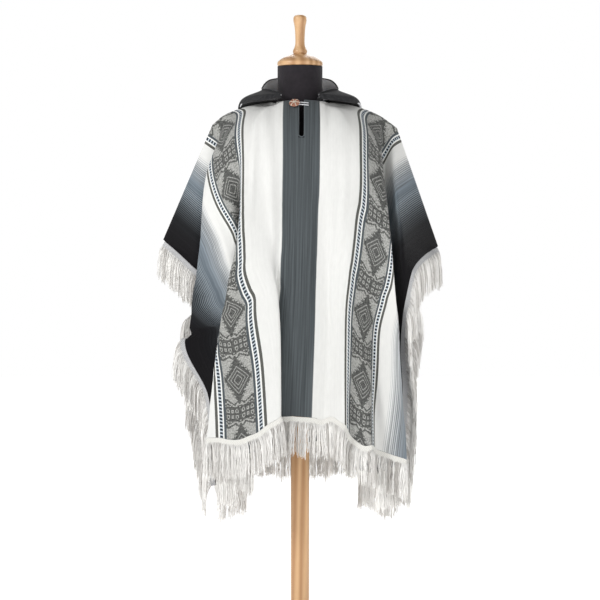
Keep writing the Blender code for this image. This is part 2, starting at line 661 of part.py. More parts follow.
def tape_edge(near, outs, heights):
    """Outer edge of a tape, drawn in where a sharp turn would make it run backwards."""
    heights = heights.copy()
    steps = np.diff(near, axis=0)
    for _ in range(TAPE_TRIES):
        far = near + outs * heights[:, None]
        run = np.sum(np.diff(far, axis=0) * steps, axis=1) / np.sum(steps * steps, axis=1)
        tight = np.nonzero(run < LEAST_RUN)[0]
        if not len(tight):
            break
        for k in tight:
            heights[k:k + 2] *= TAPE_DRAWN_IN
    return far


def free_share(trees, start, end):
    """How much of the way from start to end is clear of the panels and of the fringe itself."""
    way = end - start
    length = np.linalg.norm(way)
    start = start + way * (RAY_START / length)
    free = length
    for tree in trees:
        distance = tree.ray_cast(tuple(start), tuple(way), length)[3]
        free = min(free, distance + RAY_START - LOCK_CLEARANCE) if distance is not None else free
    return free / length


def lock_faces(vertices, outer, out, tangent, half, trees):
    """Faces of one lock drawn out of the tape face outer, towards the ground.

    A lock that would run into a panel is drawn short of it. One that has no
    room to hang is left out, and None is given back.
    """
    root = np.array([vertices[v] for v in outer])
    heading = unit(out + np.array([0.0, 0.0, -LOCK_DROOP]))
    side = unit(tangent - heading * np.dot(tangent, heading))
    width = np.linalg.norm(root[3] - root[0]) * LOCK_TIP_SHARE
    tip = root.mean(axis=0) + heading * FRINGE_LENGTH
    corners = [tip + across * side * width / 2 + deep * half
               for across, deep in ((-1, -1), (-1, 1), (1, 1), (1, -1))]
    share = min(free_share(trees, start, end) for start, end in zip(root, corners))
    flat_way = unit(np.cross(root[3] - root[0], heading))
    depths = [np.dot(root[1] - root[0], flat_way), np.dot(root[2] - root[3], flat_way)]
    turned_over = min(depths) < LEAST_DEPTH and max(depths) > -LEAST_DEPTH
    if share < LEAST_LOCK or turned_over:
        return None
    first = len(vertices)
    vertices.extend(start + share * (end - start) for start, end in zip(root, corners))
    ring = (first, first + 1, first + 2, first + 3)
    faces = [ring]
    for n in range(4):
        m = (n + 1) % 4
        faces.append((outer[n], outer[m], ring[m], ring[n]))
    return faces


# ---------------------------------------------------------------------- hood
# A radial section of the hood at a turn from the front middle, in degrees:
# distance and height of the neck seam, the fold at the far side and the rim.
HoodSection = namedtuple("HoodSection",
                         "turn seam_z low_out low_z fold_out fold_z top_out top_z rim_out rim_z")
HOOD_SECTIONS = (
    HoodSection(34, 1.476, 0.083, 1.480, 0.090, 1.483, 0.088, 1.490, 0.083, 1.492),
    HoodSection(60, 1.477, 0.105, 1.477, 0.124, 1.474, 0.122, 1.484, 0.092, 1.503),
    HoodSection(90, 1.480, 0.120, 1.476, 0.150, 1.467, 0.150, 1.480, 0.098, 1.508),
    HoodSection(120, 1.480, 0.130, 1.452, 0.176, 1.415, 0.178, 1.445, 0.104, 1.514),
    HoodSection(150, 1.479, 0.138, 1.410, 0.192, 1.320, 0.196, 1.390, 0.112, 1.524),
    HoodSection(180, 1.478, 0.142, 1.395, 0.190, 1.262, 0.200, 1.370, 0.118, 1.530),
)
HOOD_SEAM_RADIUS = 0.079
HOOD_STATIONS = 27
HOOD_PROFILE_POINTS = 9
HOOD_WALL = 0.003
HOOD_REST = 0.013         # middle of the hood's wall to the face of the cloth that it lies on


def hood_point(turn, along, sections=HOOD_SECTIONS):
    """Middle point of the hood's wall at a turn in degrees and 0..1 along it."""
    knots = [s.turn for s in sections]
    bend = abs(turn)
    value = {f: float(smooth_through(knots, [getattr(s, f) for s in sections], bend))
             for f in HoodSection._fields}
    out = (HOOD_SEAM_RADIUS, value["low_out"], value["fold_out"], value["top_out"], value["rim_out"])
    up = (value["seam_z"], value["low_z"], value["fold_z"], value["top_z"], value["rim_z"])
    steps = (0.0, 0.3, 0.55, 0.7, 1.0)
    radius = float(smooth_through(steps, out, along))
    height = float(smooth_through(steps, up, along))
    angle = math.radians(turn)
    return (radius * math.sin(angle), -radius * math.cos(angle), height)


def resting_on(trees, point):
    """The point moved out and up, along a diagonal, until it clears the panels."""
    x, y, z = point
    reach = math.hypot(x, y) * math.sqrt(2)
    diagonal = np.array((x / reach, y / reach, math.sqrt(0.5)))
    moved = np.array(point)
    for tree in trees:
        hit = tree.ray_cast(tuple(moved + diagonal), tuple(-diagonal), 1.2)[0]
        if hit is not None:
            standing = float(np.dot(moved - np.array(hit), diagonal))
            moved = moved + diagonal * max(0.0, HOOD_REST - standing)
    return tuple(moved)


def build_hood(trees):
    """The hood laid down on the back, open upwards behind the neck."""
    first = HOOD_SECTIONS[0].turn
    turns = np.linspace(first, 360 - first, HOOD_STATIONS)
    grid = np.array([[resting_on(trees, hood_point(t if t <= 180 else t - 360, a))
                      for t in turns] for a in np.linspace(0, 1, HOOD_PROFILE_POINTS)])
    vertices, faces = wall_from_grid(grid, grid_normals(grid), HOOD_WALL)
    return add_object("hood", vertices, faces, (0.03, 0.03, 0.032), 0.95)


# -------------------------------------------------------- button and its loop
BUTTON_RADIUS = 0.0135
BUTTON_THICKNESS = 0.005
BUTTON_ACROSS = -0.0185   # flat place of the button's middle on the front
BUTTON_DOWN = 0.081
BUTTON_SEGMENTS = 24
BUTTON_PROFILE = ((0.88, -0.5), (1.0, -0.2), (1.0, 0.15), (0.86, 0.4), (0.45, 0.5))
LOOP_END_ACROSS = 0.019
LOOP_RADIUS = 0.0013
LOOP_LIFT = 0.0032        # middle of the loop to the face of the front
LOOP_HALF_GAP = 0.0042
LOOP_SIDES = 6


def front_face(across, down, lift):
    """A point that stands off the front's outer face, and its two axes and normal there."""
    step = 0.004
    right = unit(FRONT.place(across + step, down) - FRONT.place(across - step, down))
    below = unit(FRONT.place(across, down + step) - FRONT.place(across, down - step))
    normal = unit(np.cross(below, right))
    return FRONT.place(across, down) + normal * (WALL / 2 + lift), right, normal


def rings_to_faces(rings, sides):
    """Faces of a capped tube whose vertices are rings of one size, in order."""
    faces = [tuple(reversed(range(sides)))]
    for n in range(rings - 1):
        for k in range(sides):
            m = (k + 1) % sides
            faces.append((n * sides + k, n * sides + m, (n + 1) * sides + m, (n + 1) * sides + k))
    last = (rings - 1) * sides
    faces.append(tuple(last + k for k in range(sides)))
    return faces


def build_button():
    """A domed disc that lies on the front over the loop."""
    lift = LOOP_LIFT + LOOP_RADIUS + SEAM_GAP + BUTTON_THICKNESS / 2
    middle, right, normal = front_face(BUTTON_ACROSS, BUTTON_DOWN, lift)
    upright = np.cross(right, normal)
    vertices = []
    for share, depth in BUTTON_PROFILE:
        for k in range(BUTTON_SEGMENTS):
            angle = 2 * math.pi * k / BUTTON_SEGMENTS
            spoke = math.cos(angle) * right + math.sin(angle) * upright
            vertices.append(middle + share * BUTTON_RADIUS * spoke + depth * BUTTON_THICKNESS * normal)
    faces = rings_to_faces(len(BUTTON_PROFILE), BUTTON_SEGMENTS)
    return add_object("button", vertices, faces, (0.23, 0.10, 0.04), 0.35)


def build_loop():
    """The elastic loop: two runs side by side that meet behind the button."""
    path = [(LOOP_END_ACROSS, -LOOP_HALF_GAP)]
    for k in range(9):
        angle = math.pi / 2 + math.pi * k / 8
        path.append((BUTTON_ACROSS + LOOP_HALF_GAP * math.cos(angle), -LOOP_HALF_GAP * math.sin(angle)))
    path.append((LOOP_END_ACROSS, LOOP_HALF_GAP))
    spots = [front_face(across, BUTTON_DOWN + down, LOOP_LIFT) for across, down in path]
    vertices = []
    for n, (middle, _, normal) in enumerate(spots):
        heading = unit(spots[min(n + 1, len(spots) - 1)][0] - spots[max(n - 1, 0)][0])
        lateral = np.cross(heading, normal)
        for k in range(LOOP_SIDES):
            angle = 2 * math.pi * k / LOOP_SIDES
            vertices.append(middle + LOOP_RADIUS * (math.cos(angle) * lateral + math.sin(angle) * normal))
    faces = rings_to_faces(len(path), LOOP_SIDES)
    return add_object("button_loop", vertices, faces, (0.85, 0.86, 0.88), 0.6)


# --------------------------------------------------------------- form, stand
# Torso section: height, half width, half depth, how far its middle is forward.
TorsoSection = namedtuple("TorsoSection", "height half_width half_depth forward squareness")
TORSO = (
    TorsoSection(TORSO_BOTTOM, 0.150, 0.092, 0.000, 2.2),
    TorsoSection(0.875, 0.163, 0.102, 0.000, 2.3),
    TorsoSection(0.960, 0.167, 0.106, 0.000, 2.3),
    TorsoSection(1.080, 0.150, 0.094, 0.004, 2.2),
    TorsoSection(1.200, 0.166, 0.102, 0.008, 2.3),
    TorsoSection(1.290, 0.178, 0.104, 0.008, 2.3),
    TorsoSection(1.345, 0.186, 0.090, 0.004, 2.3),
    TorsoSection(1.383, 0.190, 0.078, 0.000, 2.3),
    TorsoSection(1.405, 0.178, 0.064, -0.002, 2.2),
    TorsoSection(1.420, 0.150, 0.056, -0.002, 2.1),
    TorsoSection(1.433, 0.106, 0.053, 0.000, 2.0),
    TorsoSection(1.446, 0.072, 0.054, 0.000, 2.0),
    TorsoSection(1.468, 0.061, 0.057, 0.000, 2.0),
    TorsoSection(1.505, 0.0585, 0.058, 0.000, 2.0),
    TorsoSection(NECK_TOP, 0.0585, 0.0585, 0.000, 2.0),
)
TORSO_SEGMENTS = 32


def build_torso():
    """Jersey-covered body form: superellipse sections from hip to neck."""
    vertices, faces = [], []
    for section in TORSO:
        power = 2.0 / section.squareness
        for k in range(TORSO_SEGMENTS):
            angle = 2 * math.pi * k / TORSO_SEGMENTS
            c, s = math.cos(angle), math.sin(angle)
            vertices.append((section.half_width * math.copysign(abs(c) ** power, c),
                             section.half_depth * math.copysign(abs(s) ** power, s) - section.forward,
                             section.height))
    for i in range(len(TORSO) - 1):
        for k in range(TORSO_SEGMENTS):
            n = (k + 1) % TORSO_SEGMENTS
            low, high = i * TORSO_SEGMENTS, (i + 1) * TORSO_SEGMENTS
            faces.append((low + k, low + n, high + n, high + k))
    top = (len(TORSO) - 1) * TORSO_SEGMENTS
    faces.append(tuple(reversed(range(TORSO_SEGMENTS))))
    faces.append(tuple(top + k for k in range(TORSO_SEGMENTS)))
    return add_object("torso", vertices, faces, (0.02, 0.018, 0.022), 0.8)


WOOD = (0.56, 0.32, 0.14)
CAP_PROFILE = ((0.0560, 0.0), (0.0585, 0.003), (0.0585, 0.010), (0.0560, 0.0135), (0.0500, 0.0185),
               (0.0400, 0.0240), (0.0280, 0.0280), (0.0200, CAP_TOP - NECK_TOP - SEAM_GAP))
FINIAL_PROFILE = ((0.0165, 0.000), (0.0182, 0.004), (0.0182, 0.009), (0.0160, 0.014), (0.0130, 0.022),
                  (0.0120, 0.034), (0.0128, 0.056), (0.0142, 0.072), (0.0165, 0.083), (0.0172, 0.090),
                  (0.0160, 0.097), (0.0110, 0.101), (0.0050, 0.102))
BASE_PROFILE = ((BASE_RADIUS - 0.004, 0.0), (BASE_RADIUS, 0.004), (BASE_RADIUS, 0.018),
                (BASE_RADIUS - 0.006, 0.0255), (BASE_RADIUS - 0.016, BASE_HEIGHT))


def lifted(profile, height):
    """A profile moved up to stand at a height."""
    return [(radius, z + height) for radius, z in profile]


def build_stand():
    """Base, pole, neck cap and finial, all turned about one axis."""
    turned("base", BASE_PROFILE, WOOD, 0.45, segments=40)
    pole_profile = ((POLE_RADIUS, BASE_HEIGHT + SEAM_GAP), (POLE_RADIUS, TORSO_BOTTOM - SEAM_GAP))
    turned("pole", pole_profile, WOOD, 0.45)
    turned("neck_cap", lifted(CAP_PROFILE, NECK_TOP + SEAM_GAP), WOOD, 0.4)
    turned("finial", lifted(FINIAL_PROFILE, CAP_TOP + SEAM_GAP), WOOD, 0.4)


# --------------------------------------------------------------------- build
def main():
    """Clear the scene and build every piece."""
    for old in list(bpy.data.objects):
        bpy.data.objects.remove(old, do_unlink=True)
    front = PanelMesh(FRONT)
    back = PanelMesh(BACK)
    panels = [build_panel("front", front, slit=True), build_panel("back", back, slit=False)]
    trees = [BVHTree.FromObject(panel, bpy.context.evaluated_depsgraph_get()) for panel in panels]
    for panel, name in ((front, "front"), (back, "back")):
        fringe(f"fringe_{name}", panel, "hem", HEM_PITCH, trees)
        fringe(f"fringe_left_{name}", panel, "left", SIDE_PITCH, trees)
        fringe(f"fringe_right_{name}", panel, "right", SIDE_PITCH, trees)
    build_hood(trees)
    build_button()
    build_loop()
    build_torso()
    build_stand()


main()
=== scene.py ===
"""Looks of an andean poncho with a laid-down hood, worn by a limbless dress form.

Units are metres, +Z is up and the front of the garment faces -Y. The poncho is
one woven width folded over the shoulders. A point of the flat cloth is
(across, down): across is measured from the middle of the garment and down from
the fold line over the shoulders, and every piece of cloth keeps that pair as
its UV map, so the woven stripes follow the drape.
"""

from __future__ import annotations

import logging
import math
from dataclasses import dataclass, field
from enum import Enum
from typing import NamedTuple, Optional, Sequence

import bmesh
import bpy
import numpy as np
from mathutils import Matrix, Vector
from mathutils.bvhtree import BVHTree

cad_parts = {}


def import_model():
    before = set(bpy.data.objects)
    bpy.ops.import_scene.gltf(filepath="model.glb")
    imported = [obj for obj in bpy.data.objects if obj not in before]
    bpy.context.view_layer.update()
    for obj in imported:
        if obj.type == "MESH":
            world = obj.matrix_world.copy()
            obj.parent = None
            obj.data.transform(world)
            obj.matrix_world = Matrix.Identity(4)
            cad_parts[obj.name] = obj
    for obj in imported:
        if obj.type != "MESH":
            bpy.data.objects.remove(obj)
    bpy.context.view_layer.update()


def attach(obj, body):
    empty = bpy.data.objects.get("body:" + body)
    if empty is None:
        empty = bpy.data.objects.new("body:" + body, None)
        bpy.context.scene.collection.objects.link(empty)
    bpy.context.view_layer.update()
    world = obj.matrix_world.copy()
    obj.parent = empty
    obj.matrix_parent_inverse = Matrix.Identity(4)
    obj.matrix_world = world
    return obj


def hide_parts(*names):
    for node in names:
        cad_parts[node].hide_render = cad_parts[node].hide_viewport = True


LOG = logging.getLogger("poncho")
Array = np.ndarray
Socket = bpy.types.NodeSocket
Piece = bpy.types.Object
Colour = tuple[float, float, float]
Rgba = tuple[float, float, float, float]
Profile = Sequence[tuple[float, float]]
Material = bpy.types.Material
NodeTree = bpy.types.NodeTree
Trees = Sequence[BVHTree]

# ---- cloth sizes
WALL = 0.002  # thickness of the woven cloth
HALF_WIDTH = 0.575  # middle of the garment to its side edge
FRONT_LENGTH = 0.895  # shoulder fold to the front hem
BACK_LENGTH = 0.955  # shoulder fold to the back hem
SEAM_GAP = 0.0003  # gap between two pieces that are sewn together
NECK_HALF_WIDTH = 0.070  # half the neck opening along the shoulder fold
NECK_PUSH_REACH = 0.12  # length of cloth over which the neck's push dies away
NECK_PUSH_SPREAD = 0.5  # how much wider the push gets for each length of cloth down
SLIT_HALF_WIDTH = 0.008  # half the gap of the front neck slit
FOLD_ROUNDING = 0.0226  # half the length of cloth that a fold turns over
CLOTH_SHIFT = 0.004  # the garment hangs this far to the right of the pole
REACHES = (0.0, 0.14, 0.335, 0.60, 0.90)
SHOULDER_RISE = (0.0, 0.13, 0.167, 0.205)
SHOULDER_DROP = (1.474, 1.464, 1.453, 1.436)


class Facing(Enum):
    """Which way a panel faces: the sign that its forward distance takes."""

    FRONT = 1.0
    BACK = -1.0


class Edge(Enum):
    """An edge of a panel that carries a fringe."""

    HEM = "hem"
    LEFT = "left"
    RIGHT = "right"


class Fold(NamedTuple):
    """A fold line: its top on the shoulder fold, its fan angle and its plan points."""

    name: str
    top: float
    ray: Optional[float]
    at_14: tuple[float, float]
    at_34: tuple[float, float]
    at_60: tuple[float, float]
    at_90: tuple[float, float]


class EdgePoint(NamedTuple):
    """A point of the side edge: length of cloth down, then its plan point."""

    down: float
    outward: float
    forward: float


class Crease(NamedTuple):
    """A soft trough (depth > 0) or ridge (depth < 0) in the flat cloth's own sizes."""

    across: float
    start: float
    length: float
    width: float
    depth: float
    lean: float


@dataclass(frozen=True)
class Side:
    """One side of the garment: its shoulder point and the tip of its sleeve fold."""

    name: str
    sign: float
    shoulder_out: float
    shoulder_z: float
    tip_out: float
    tip_forward: float


@dataclass(frozen=True)
class Swell:
    """A slow unevenness of hung cloth, in the flat cloth's own sizes."""

    height: float = 0.0011
    pitch: float = 0.083
    bend: float = 0.35
    bend_length: float = 0.13
    beat_length: float = 0.21
    beat_lean: float = 3.0
    flat_top: float = 0.08
    hem_fade: float = 0.06
    side_fade: float = 0.05

    def over(self, across: Array, down: Array) -> Array:
        """How far the swell sinks the cloth at flat points."""
        bent = across / self.pitch + self.bend * np.sin(down / self.bend_length)
        beat = np.sin(down / self.beat_length + self.beat_lean * across)
        return self.height * (np.sin(2 * np.pi * bent) * beat)


@dataclass(frozen=True)
class NeckHole:
    """The neck hole of a panel: its depth, and how far the neck pushes the cloth out."""

    depth: float
    push: float

    def edge(self, across: Array) -> Array:
        """How far below the shoulder fold the neck hole reaches."""
        return self.depth * np.sqrt(np.clip(1.0 - (across / NECK_HALF_WIDTH) ** 2, 0.0, 1.0))


LEFT = Side("left", -1.0, 0.231, 1.414, 0.364, -0.115)
RIGHT = Side("right", 1.0, 0.247, 1.406, 0.356, -0.040)

FRONT_LEFT_FOLDS = (
    Fold("middle", 0.000, None, (0.000, 0.125), (0.003, 0.150), (0.009, 0.165), (0.023, 0.165)),
    Fold("stripe valley", 0.035, None, (0.055, 0.125), (0.058, 0.150), (0.070, 0.150), (0.085, 0.155)),
    Fold("stripe ridge", 0.066, None, (0.095, 0.124), (0.100, 0.152), (0.055, 0.178), (0.047, 0.200)),
    Fold("band ridge", 0.140, None, (0.150, 0.112), (0.160, 0.162), (0.212, 0.172), (0.248, 0.185)),
    Fold("band valley", 0.160, None, (0.163, 0.100), (0.148, 0.105), (0.100, 0.125), (0.115, 0.130)),
    Fold("side fall", 0.182, None, (0.205, 0.083), (0.168, 0.132), (0.200, 0.095), (0.170, 0.105)),
    Fold("arm ridge", 0.200, 54, (0.248, 0.036), (0.268, 0.050), (0.299, 0.045), (0.299, 0.045)),
    Fold("arm valley", 0.212, 44, (0.205, 0.006), (0.182, 0.012), (0.190, 0.008), (0.190, 0.008)),
    Fold("arm fall", 0.222, 27, (0.262, -0.016), (0.270, -0.022), (0.270, -0.022), (0.270, -0.022)),
)
FRONT_LEFT_EDGE = (
    EdgePoint(0.000, 0.364, -0.115),
    EdgePoint(0.170, 0.271, -0.022),
    EdgePoint(0.332, 0.190, 0.008),
    EdgePoint(0.474, 0.297, 0.044),
    EdgePoint(0.671, 0.240, 0.050),
    EdgePoint(0.900, 0.225, 0.070),
)
FRONT_RIGHT_FOLDS = (
    Fold("middle", 0.000, None, (0.000, 0.125), (-0.003, 0.150), (-0.009, 0.165), (-0.023, 0.165)),
    Fold("white valley", 0.066, None, (0.075, 0.125), (0.070, 0.150), (0.075, 0.142), (0.062, 0.150)),
    Fold("strip ridge", 0.145, None, (0.158, 0.115), (0.135, 0.160), (0.113, 0.185), (0.112, 0.200)),
    Fold("strip valley", 0.160, None, (0.178, 0.102), (0.155, 0.150), (0.133, 0.165), (0.122, 0.172)),
    Fold("band ridge", 0.178, None, (0.195, 0.092), (0.185, 0.155), (0.165, 0.150), (0.178, 0.205)),
    Fold("band valley", 0.191, None, (0.203, 0.085), (0.208, 0.158), (0.180, 0.128), (0.190, 0.155)),
    Fold("fall ridge", 0.204, None, (0.212, 0.075), (0.229, 0.165), (0.252, 0.168), (0.273, 0.175)),
    Fold("fall valley", 0.216, None, (0.190, 0.045), (0.165, 0.070), (0.165, 0.075), (0.190, 0.095)),
    Fold("arm valley", 0.227, 66, (0.212, 0.038), (0.222, 0.082), (0.222, 0.084), (0.265, 0.064)),
    Fold("arm ridge", 0.238, 50, (0.238, 0.075), (0.254, 0.165), (0.262, 0.130), (0.262, 0.130)),
)
FRONT_RIGHT_EDGE = (
    EdgePoint(0.000, 0.356, -0.040),
    EdgePoint(0.190, 0.294, 0.115),
    EdgePoint(0.285, 0.279, 0.145),
    EdgePoint(0.391, 0.261, 0.140),
    EdgePoint(0.500, 0.254, 0.100),
    EdgePoint(0.620, 0.260, 0.082),
    EdgePoint(0.900, 0.250, 0.060),
)
BACK_MIDDLE = Fold("middle", 0.000, None, (0.000, 0.118), (0.000, 0.160), (0.000, 0.175), (0.000, 0.180))
BACK_ARM_FOLDS = (
    Fold("arm ridge", 0.210, 55, (0.262, 0.110), (0.288, 0.175), (0.285, 0.140), (0.285, 0.140)),
    Fold("arm valley", 0.221, 35, (0.240, 0.055), (0.225, 0.075), (0.235, 0.085), (0.235, 0.085)),
)
BACK_LEFT_FOLDS = (
    BACK_MIDDLE,
    Fold("inner ridge", 0.066, None, (0.075, 0.118), (0.075, 0.165), (0.062, 0.200), (0.062, 0.215)),
    Fold("inner valley", 0.130, None, (0.130, 0.115), (0.115, 0.155), (0.102, 0.165), (0.106, 0.165)),
    Fold("outer ridge", 0.170, None, (0.190, 0.125), (0.215, 0.215), (0.240, 0.235), (0.235, 0.245)),
    Fold("outer valley", 0.193, None, (0.200, 0.085), (0.160, 0.120), (0.140, 0.105), (0.145, 0.110)),
    *BACK_ARM_FOLDS,
)
BACK_LEFT_EDGE = (
    EdgePoint(0.000, 0.364, 0.115),
    EdgePoint(0.110, 0.300, 0.096),
    EdgePoint(0.241, 0.232, 0.080),
    EdgePoint(0.370, 0.250, 0.112),
    EdgePoint(0.490, 0.283, 0.136),
    EdgePoint(0.670, 0.272, 0.104),
    EdgePoint(0.960, 0.225, 0.095),
)
BACK_RIGHT_FOLDS = (
    BACK_MIDDLE,
    Fold("inner ridge", 0.066, None, (0.075, 0.118), (0.068, 0.165), (0.050, 0.198), (0.048, 0.210)),
    Fold("inner valley", 0.130, None, (0.130, 0.115), (0.108, 0.155), (0.092, 0.165), (0.094, 0.165)),
    Fold("outer ridge", 0.170, None, (0.190, 0.125), (0.218, 0.212), (0.246, 0.230), (0.244, 0.240)),
    Fold("outer valley", 0.193, None, (0.200, 0.085), (0.162, 0.120), (0.142, 0.105), (0.148, 0.110)),
    *BACK_ARM_FOLDS,
)
BACK_RIGHT_EDGE = (
    EdgePoint(0.000, 0.356, 0.040),
    EdgePoint(0.110, 0.292, 0.080),
    EdgePoint(0.230, 0.230, 0.080),
    EdgePoint(0.350, 0.258, 0.110),
    EdgePoint(0.468, 0.285, 0.140),
    EdgePoint(0.670, 0.265, 0.115),
    EdgePoint(0.960, 0.240, 0.095),
)
ROW_SHARES = (0.0, 0.04, 0.088, 0.14, 0.185, 0.236, 0.300, 0.37, 0.45,
              0.535, 0.62, 0.70, 0.78, 0.86, 0.93, 1.0)
FLANK = 0.009  # a fold has a column this far to each side of its line
FLANK_SHARE = 0.3  # but no further than this share of the way to the next line
SLIT_ROWS = 3  # rows of the grid that the neck slit runs through
NARROW_FOLDS = ("stripe valley", "stripe ridge", "strip valley", "band ridge", "band valley", "fall ridge")

CREASE_SCALE = 1.6  # how deep every crease of these tables is made
CREASE_FADE = 1.2  # power of the sine by which a crease dies away at its ends

FRONT_CREASES = (
    Crease(-0.120, 0.06, 0.34, 0.010, 0.0030, -0.06),
    Crease(-0.092, 0.10, 0.46, 0.013, 0.0034, 0.05),
    Crease(-0.070, 0.42, 0.40, 0.011, -0.0028, 0.04),
    Crease(0.082, 0.28, 0.50, 0.013, 0.0036, 0.07),
    Crease(0.112, 0.16, 0.44, 0.011, 0.0030, 0.05),
    Crease(0.134, 0.40, 0.38, 0.010, -0.0026, 0.03),
    Crease(-0.300, 0.20, 0.36, 0.012, 0.0028, -0.10),
    Crease(0.310, 0.22, 0.40, 0.013, 0.0030, 0.10),
    Crease(-0.470, 0.30, 0.40, 0.015, 0.0026, -0.04),
    Crease(0.480, 0.26, 0.42, 0.015, 0.0028, 0.05),
    Crease(-0.030, 0.55, 0.30, 0.010, 0.0016, 0.02),
    Crease(0.024, 0.30, 0.34, 0.009, 0.0014, -0.02),
)
BACK_CREASES = (
    Crease(-0.030, 0.34, 0.50, 0.014, 0.0034, 0.03),
    Crease(0.044, 0.28, 0.44, 0.012, 0.0030, -0.04),
    Crease(-0.125, 0.22, 0.46, 0.012, -0.0028, 0.05),
    Crease(0.132, 0.30, 0.50, 0.013, 0.0032, 0.04),
    Crease(-0.310, 0.20, 0.40, 0.013, 0.0030, -0.09),
    Crease(0.300, 0.24, 0.38, 0.012, 0.0028, 0.08),
    Crease(-0.460, 0.28, 0.42, 0.015, 0.0026, -0.05),
    Crease(0.470, 0.30, 0.40, 0.015, 0.0028, 0.04),
)


# ---- points and walls
def unit(vectors: Array) -> Array:
    """Vectors of length one."""
    return vectors / np.maximum(np.linalg.norm(vectors, axis=-1, keepdims=True), 1e-9)


def eased(share: float) -> float:
    """A share of 0..1 that leaves 0 and reaches 1 gently."""
    return share * share * (3.0 - 2.0 * share)


def smooth_through(knots: Sequence[float], values: Sequence, at: Array | float) -> Array:
    """Cubic Hermite curve through knots, held flat past its ends.

    Args:
        knots: Rising positions of the known values.
        values: A value, or an array of values, for each knot.
        at: Position or positions to read the curve at.

    Returns:
        The values there, with the shape of at and then that of one value.
    """
    knots = np.asarray(knots, float)
    values = np.asarray(values, float)
    slopes = np.gradient(values, knots, axis=0)
    at = np.clip(np.asarray(at, float), knots[0], knots[-1])
    k = np.clip(np.searchsorted(knots, at) - 1, 0, len(knots) - 2)
    extra = (1,) * (values.ndim - 1)
    span = (knots[k + 1] - knots[k]).reshape(at.shape + extra)
    t = (at - knots[k]).reshape(at.shape + extra) / span
    return ((2 * t**3 - 3 * t**2 + 1) * values[k] + (t**3 - 2 * t**2 + t) * span * slopes[k]
            + (3 * t**2 - 2 * t**3) * values[k + 1] + (t**3 - t**2) * span * slopes[k + 1])


def resampled(rows: Sequence, count: int) -> list[list[float]]:
    """Rows read evenly, a number of times, from a smooth line through a table's rows."""
    return smooth_through(np.arange(len(rows)), rows, np.linspace(0, len(rows) - 1, count)).tolist()


def grid_normals(points: Array) -> Array:
    """Directions at a grid's points, each halfway between those of its cells."""
    rising = points[1:, 1:] - points[:-1, :-1]
    falling = points[1:, :-1] - points[:-1, 1:]
    cells = unit(np.cross(rising, falling))
    total = np.zeros_like(points)
    total[:-1, :-1] += cells
    total[:-1, 1:] += cells
    total[1:, :-1] += cells
    total[1:, 1:] += cells
    return unit(total)


def evened(values: Array, passes: int) -> Array:
    """A run of values, each drawn towards its neighbours a number of times."""
    values = values.copy()
    for _ in range(passes):
        values[1:-1] = (values[:-2] + 2 * values[1:-1] + values[2:]) / 4
    return values


def mesh_piece(name: str, vertices: Array, faces: Sequence, smooth_deg: float = 40.0) -> Piece:
    """One object from vertices and faces, smooth but for its sharp edges."""
    mesh = bpy.data.meshes.new(name)
    mesh.from_pydata(vertices.tolist(), [], faces)
    mesh.update()
    mesh.shade_smooth()
    mesh.set_sharp_from_angle(angle=math.radians(smooth_deg))
    piece = bpy.data.objects.new(name, mesh)
    bpy.context.scene.collection.objects.link(piece)
    return piece


def coat(piece: Piece, *finishes: Material) -> None:
    """Gives a piece its material slots, in order."""
    for finish in finishes:
        piece.data.materials.append(finish)


def lay_uv(piece: Piece, flat: Array) -> None:
    """Gives a piece the UV map "flat": two numbers for each vertex."""
    layer = piece.data.uv_layers.new(name="flat")
    corners = np.empty(len(piece.data.loops), np.int32)
    piece.data.loops.foreach_get("vertex_index", corners)
    layer.data.foreach_set("uv", flat[corners].astype(np.float32).ravel())


def sheet_wall(name: str, points: Array, normal: Array, thickness: float, flat: Array,
               keep: Optional[Array] = None) -> Piece:
    """A closed wall about a grid of middle points, with its flat places as UV.

    Args:
        name: The piece's name.
        points: Middle points, (rows, columns, 3).
        normal: Wall directions at the points.
        thickness: Thickness of the wall.
        flat: Flat places of the points, (rows, columns, 2).
        keep: Which cells are made, or None for all of them.

    Returns:
        The wall. Its inner faces take the second material slot.
    """
    rows, cols = points.shape[:2]
    keep = np.ones((rows - 1, cols - 1), bool) if keep is None else keep
    outer = (points + normal * thickness / 2).reshape(-1, 3)
    inner = (points - normal * thickness / 2).reshape(-1, 3)
    count = rows * cols
    grid = np.arange(count).reshape(rows, cols)
    loops = np.stack([grid[:-1, :-1], grid[:-1, 1:], grid[1:, 1:], grid[1:, :-1]], axis=-1)[keep]
    edges = {}
    for loop in loops.tolist():
        for a, b in zip(loop, loop[1:] + loop[:1]):
            edges[a, b] = True
    rim = [(b, a, a + count, b + count) for a, b in edges if (b, a) not in edges]
    faces = loops.tolist() + (loops[:, ::-1] + count).tolist() + rim
    piece = mesh_piece(name, np.concatenate([outer, inner]), faces)
    lay_uv(piece, np.concatenate([flat.reshape(-1, 2)] * 2))
    sides = np.zeros(len(faces), np.int32)
    sides[len(loops):2 * len(loops)] = 1
    piece.data.polygons.foreach_set("material_index", sides)
    tidy = bmesh.new()
    tidy.from_mesh(piece.data)
    loose = [v for v in tidy.verts if not v.link_faces]
    bmesh.ops.delete(tidy, geom=loose, context="VERTS")
    tidy.to_mesh(piece.data)
    tidy.free()
    return piece


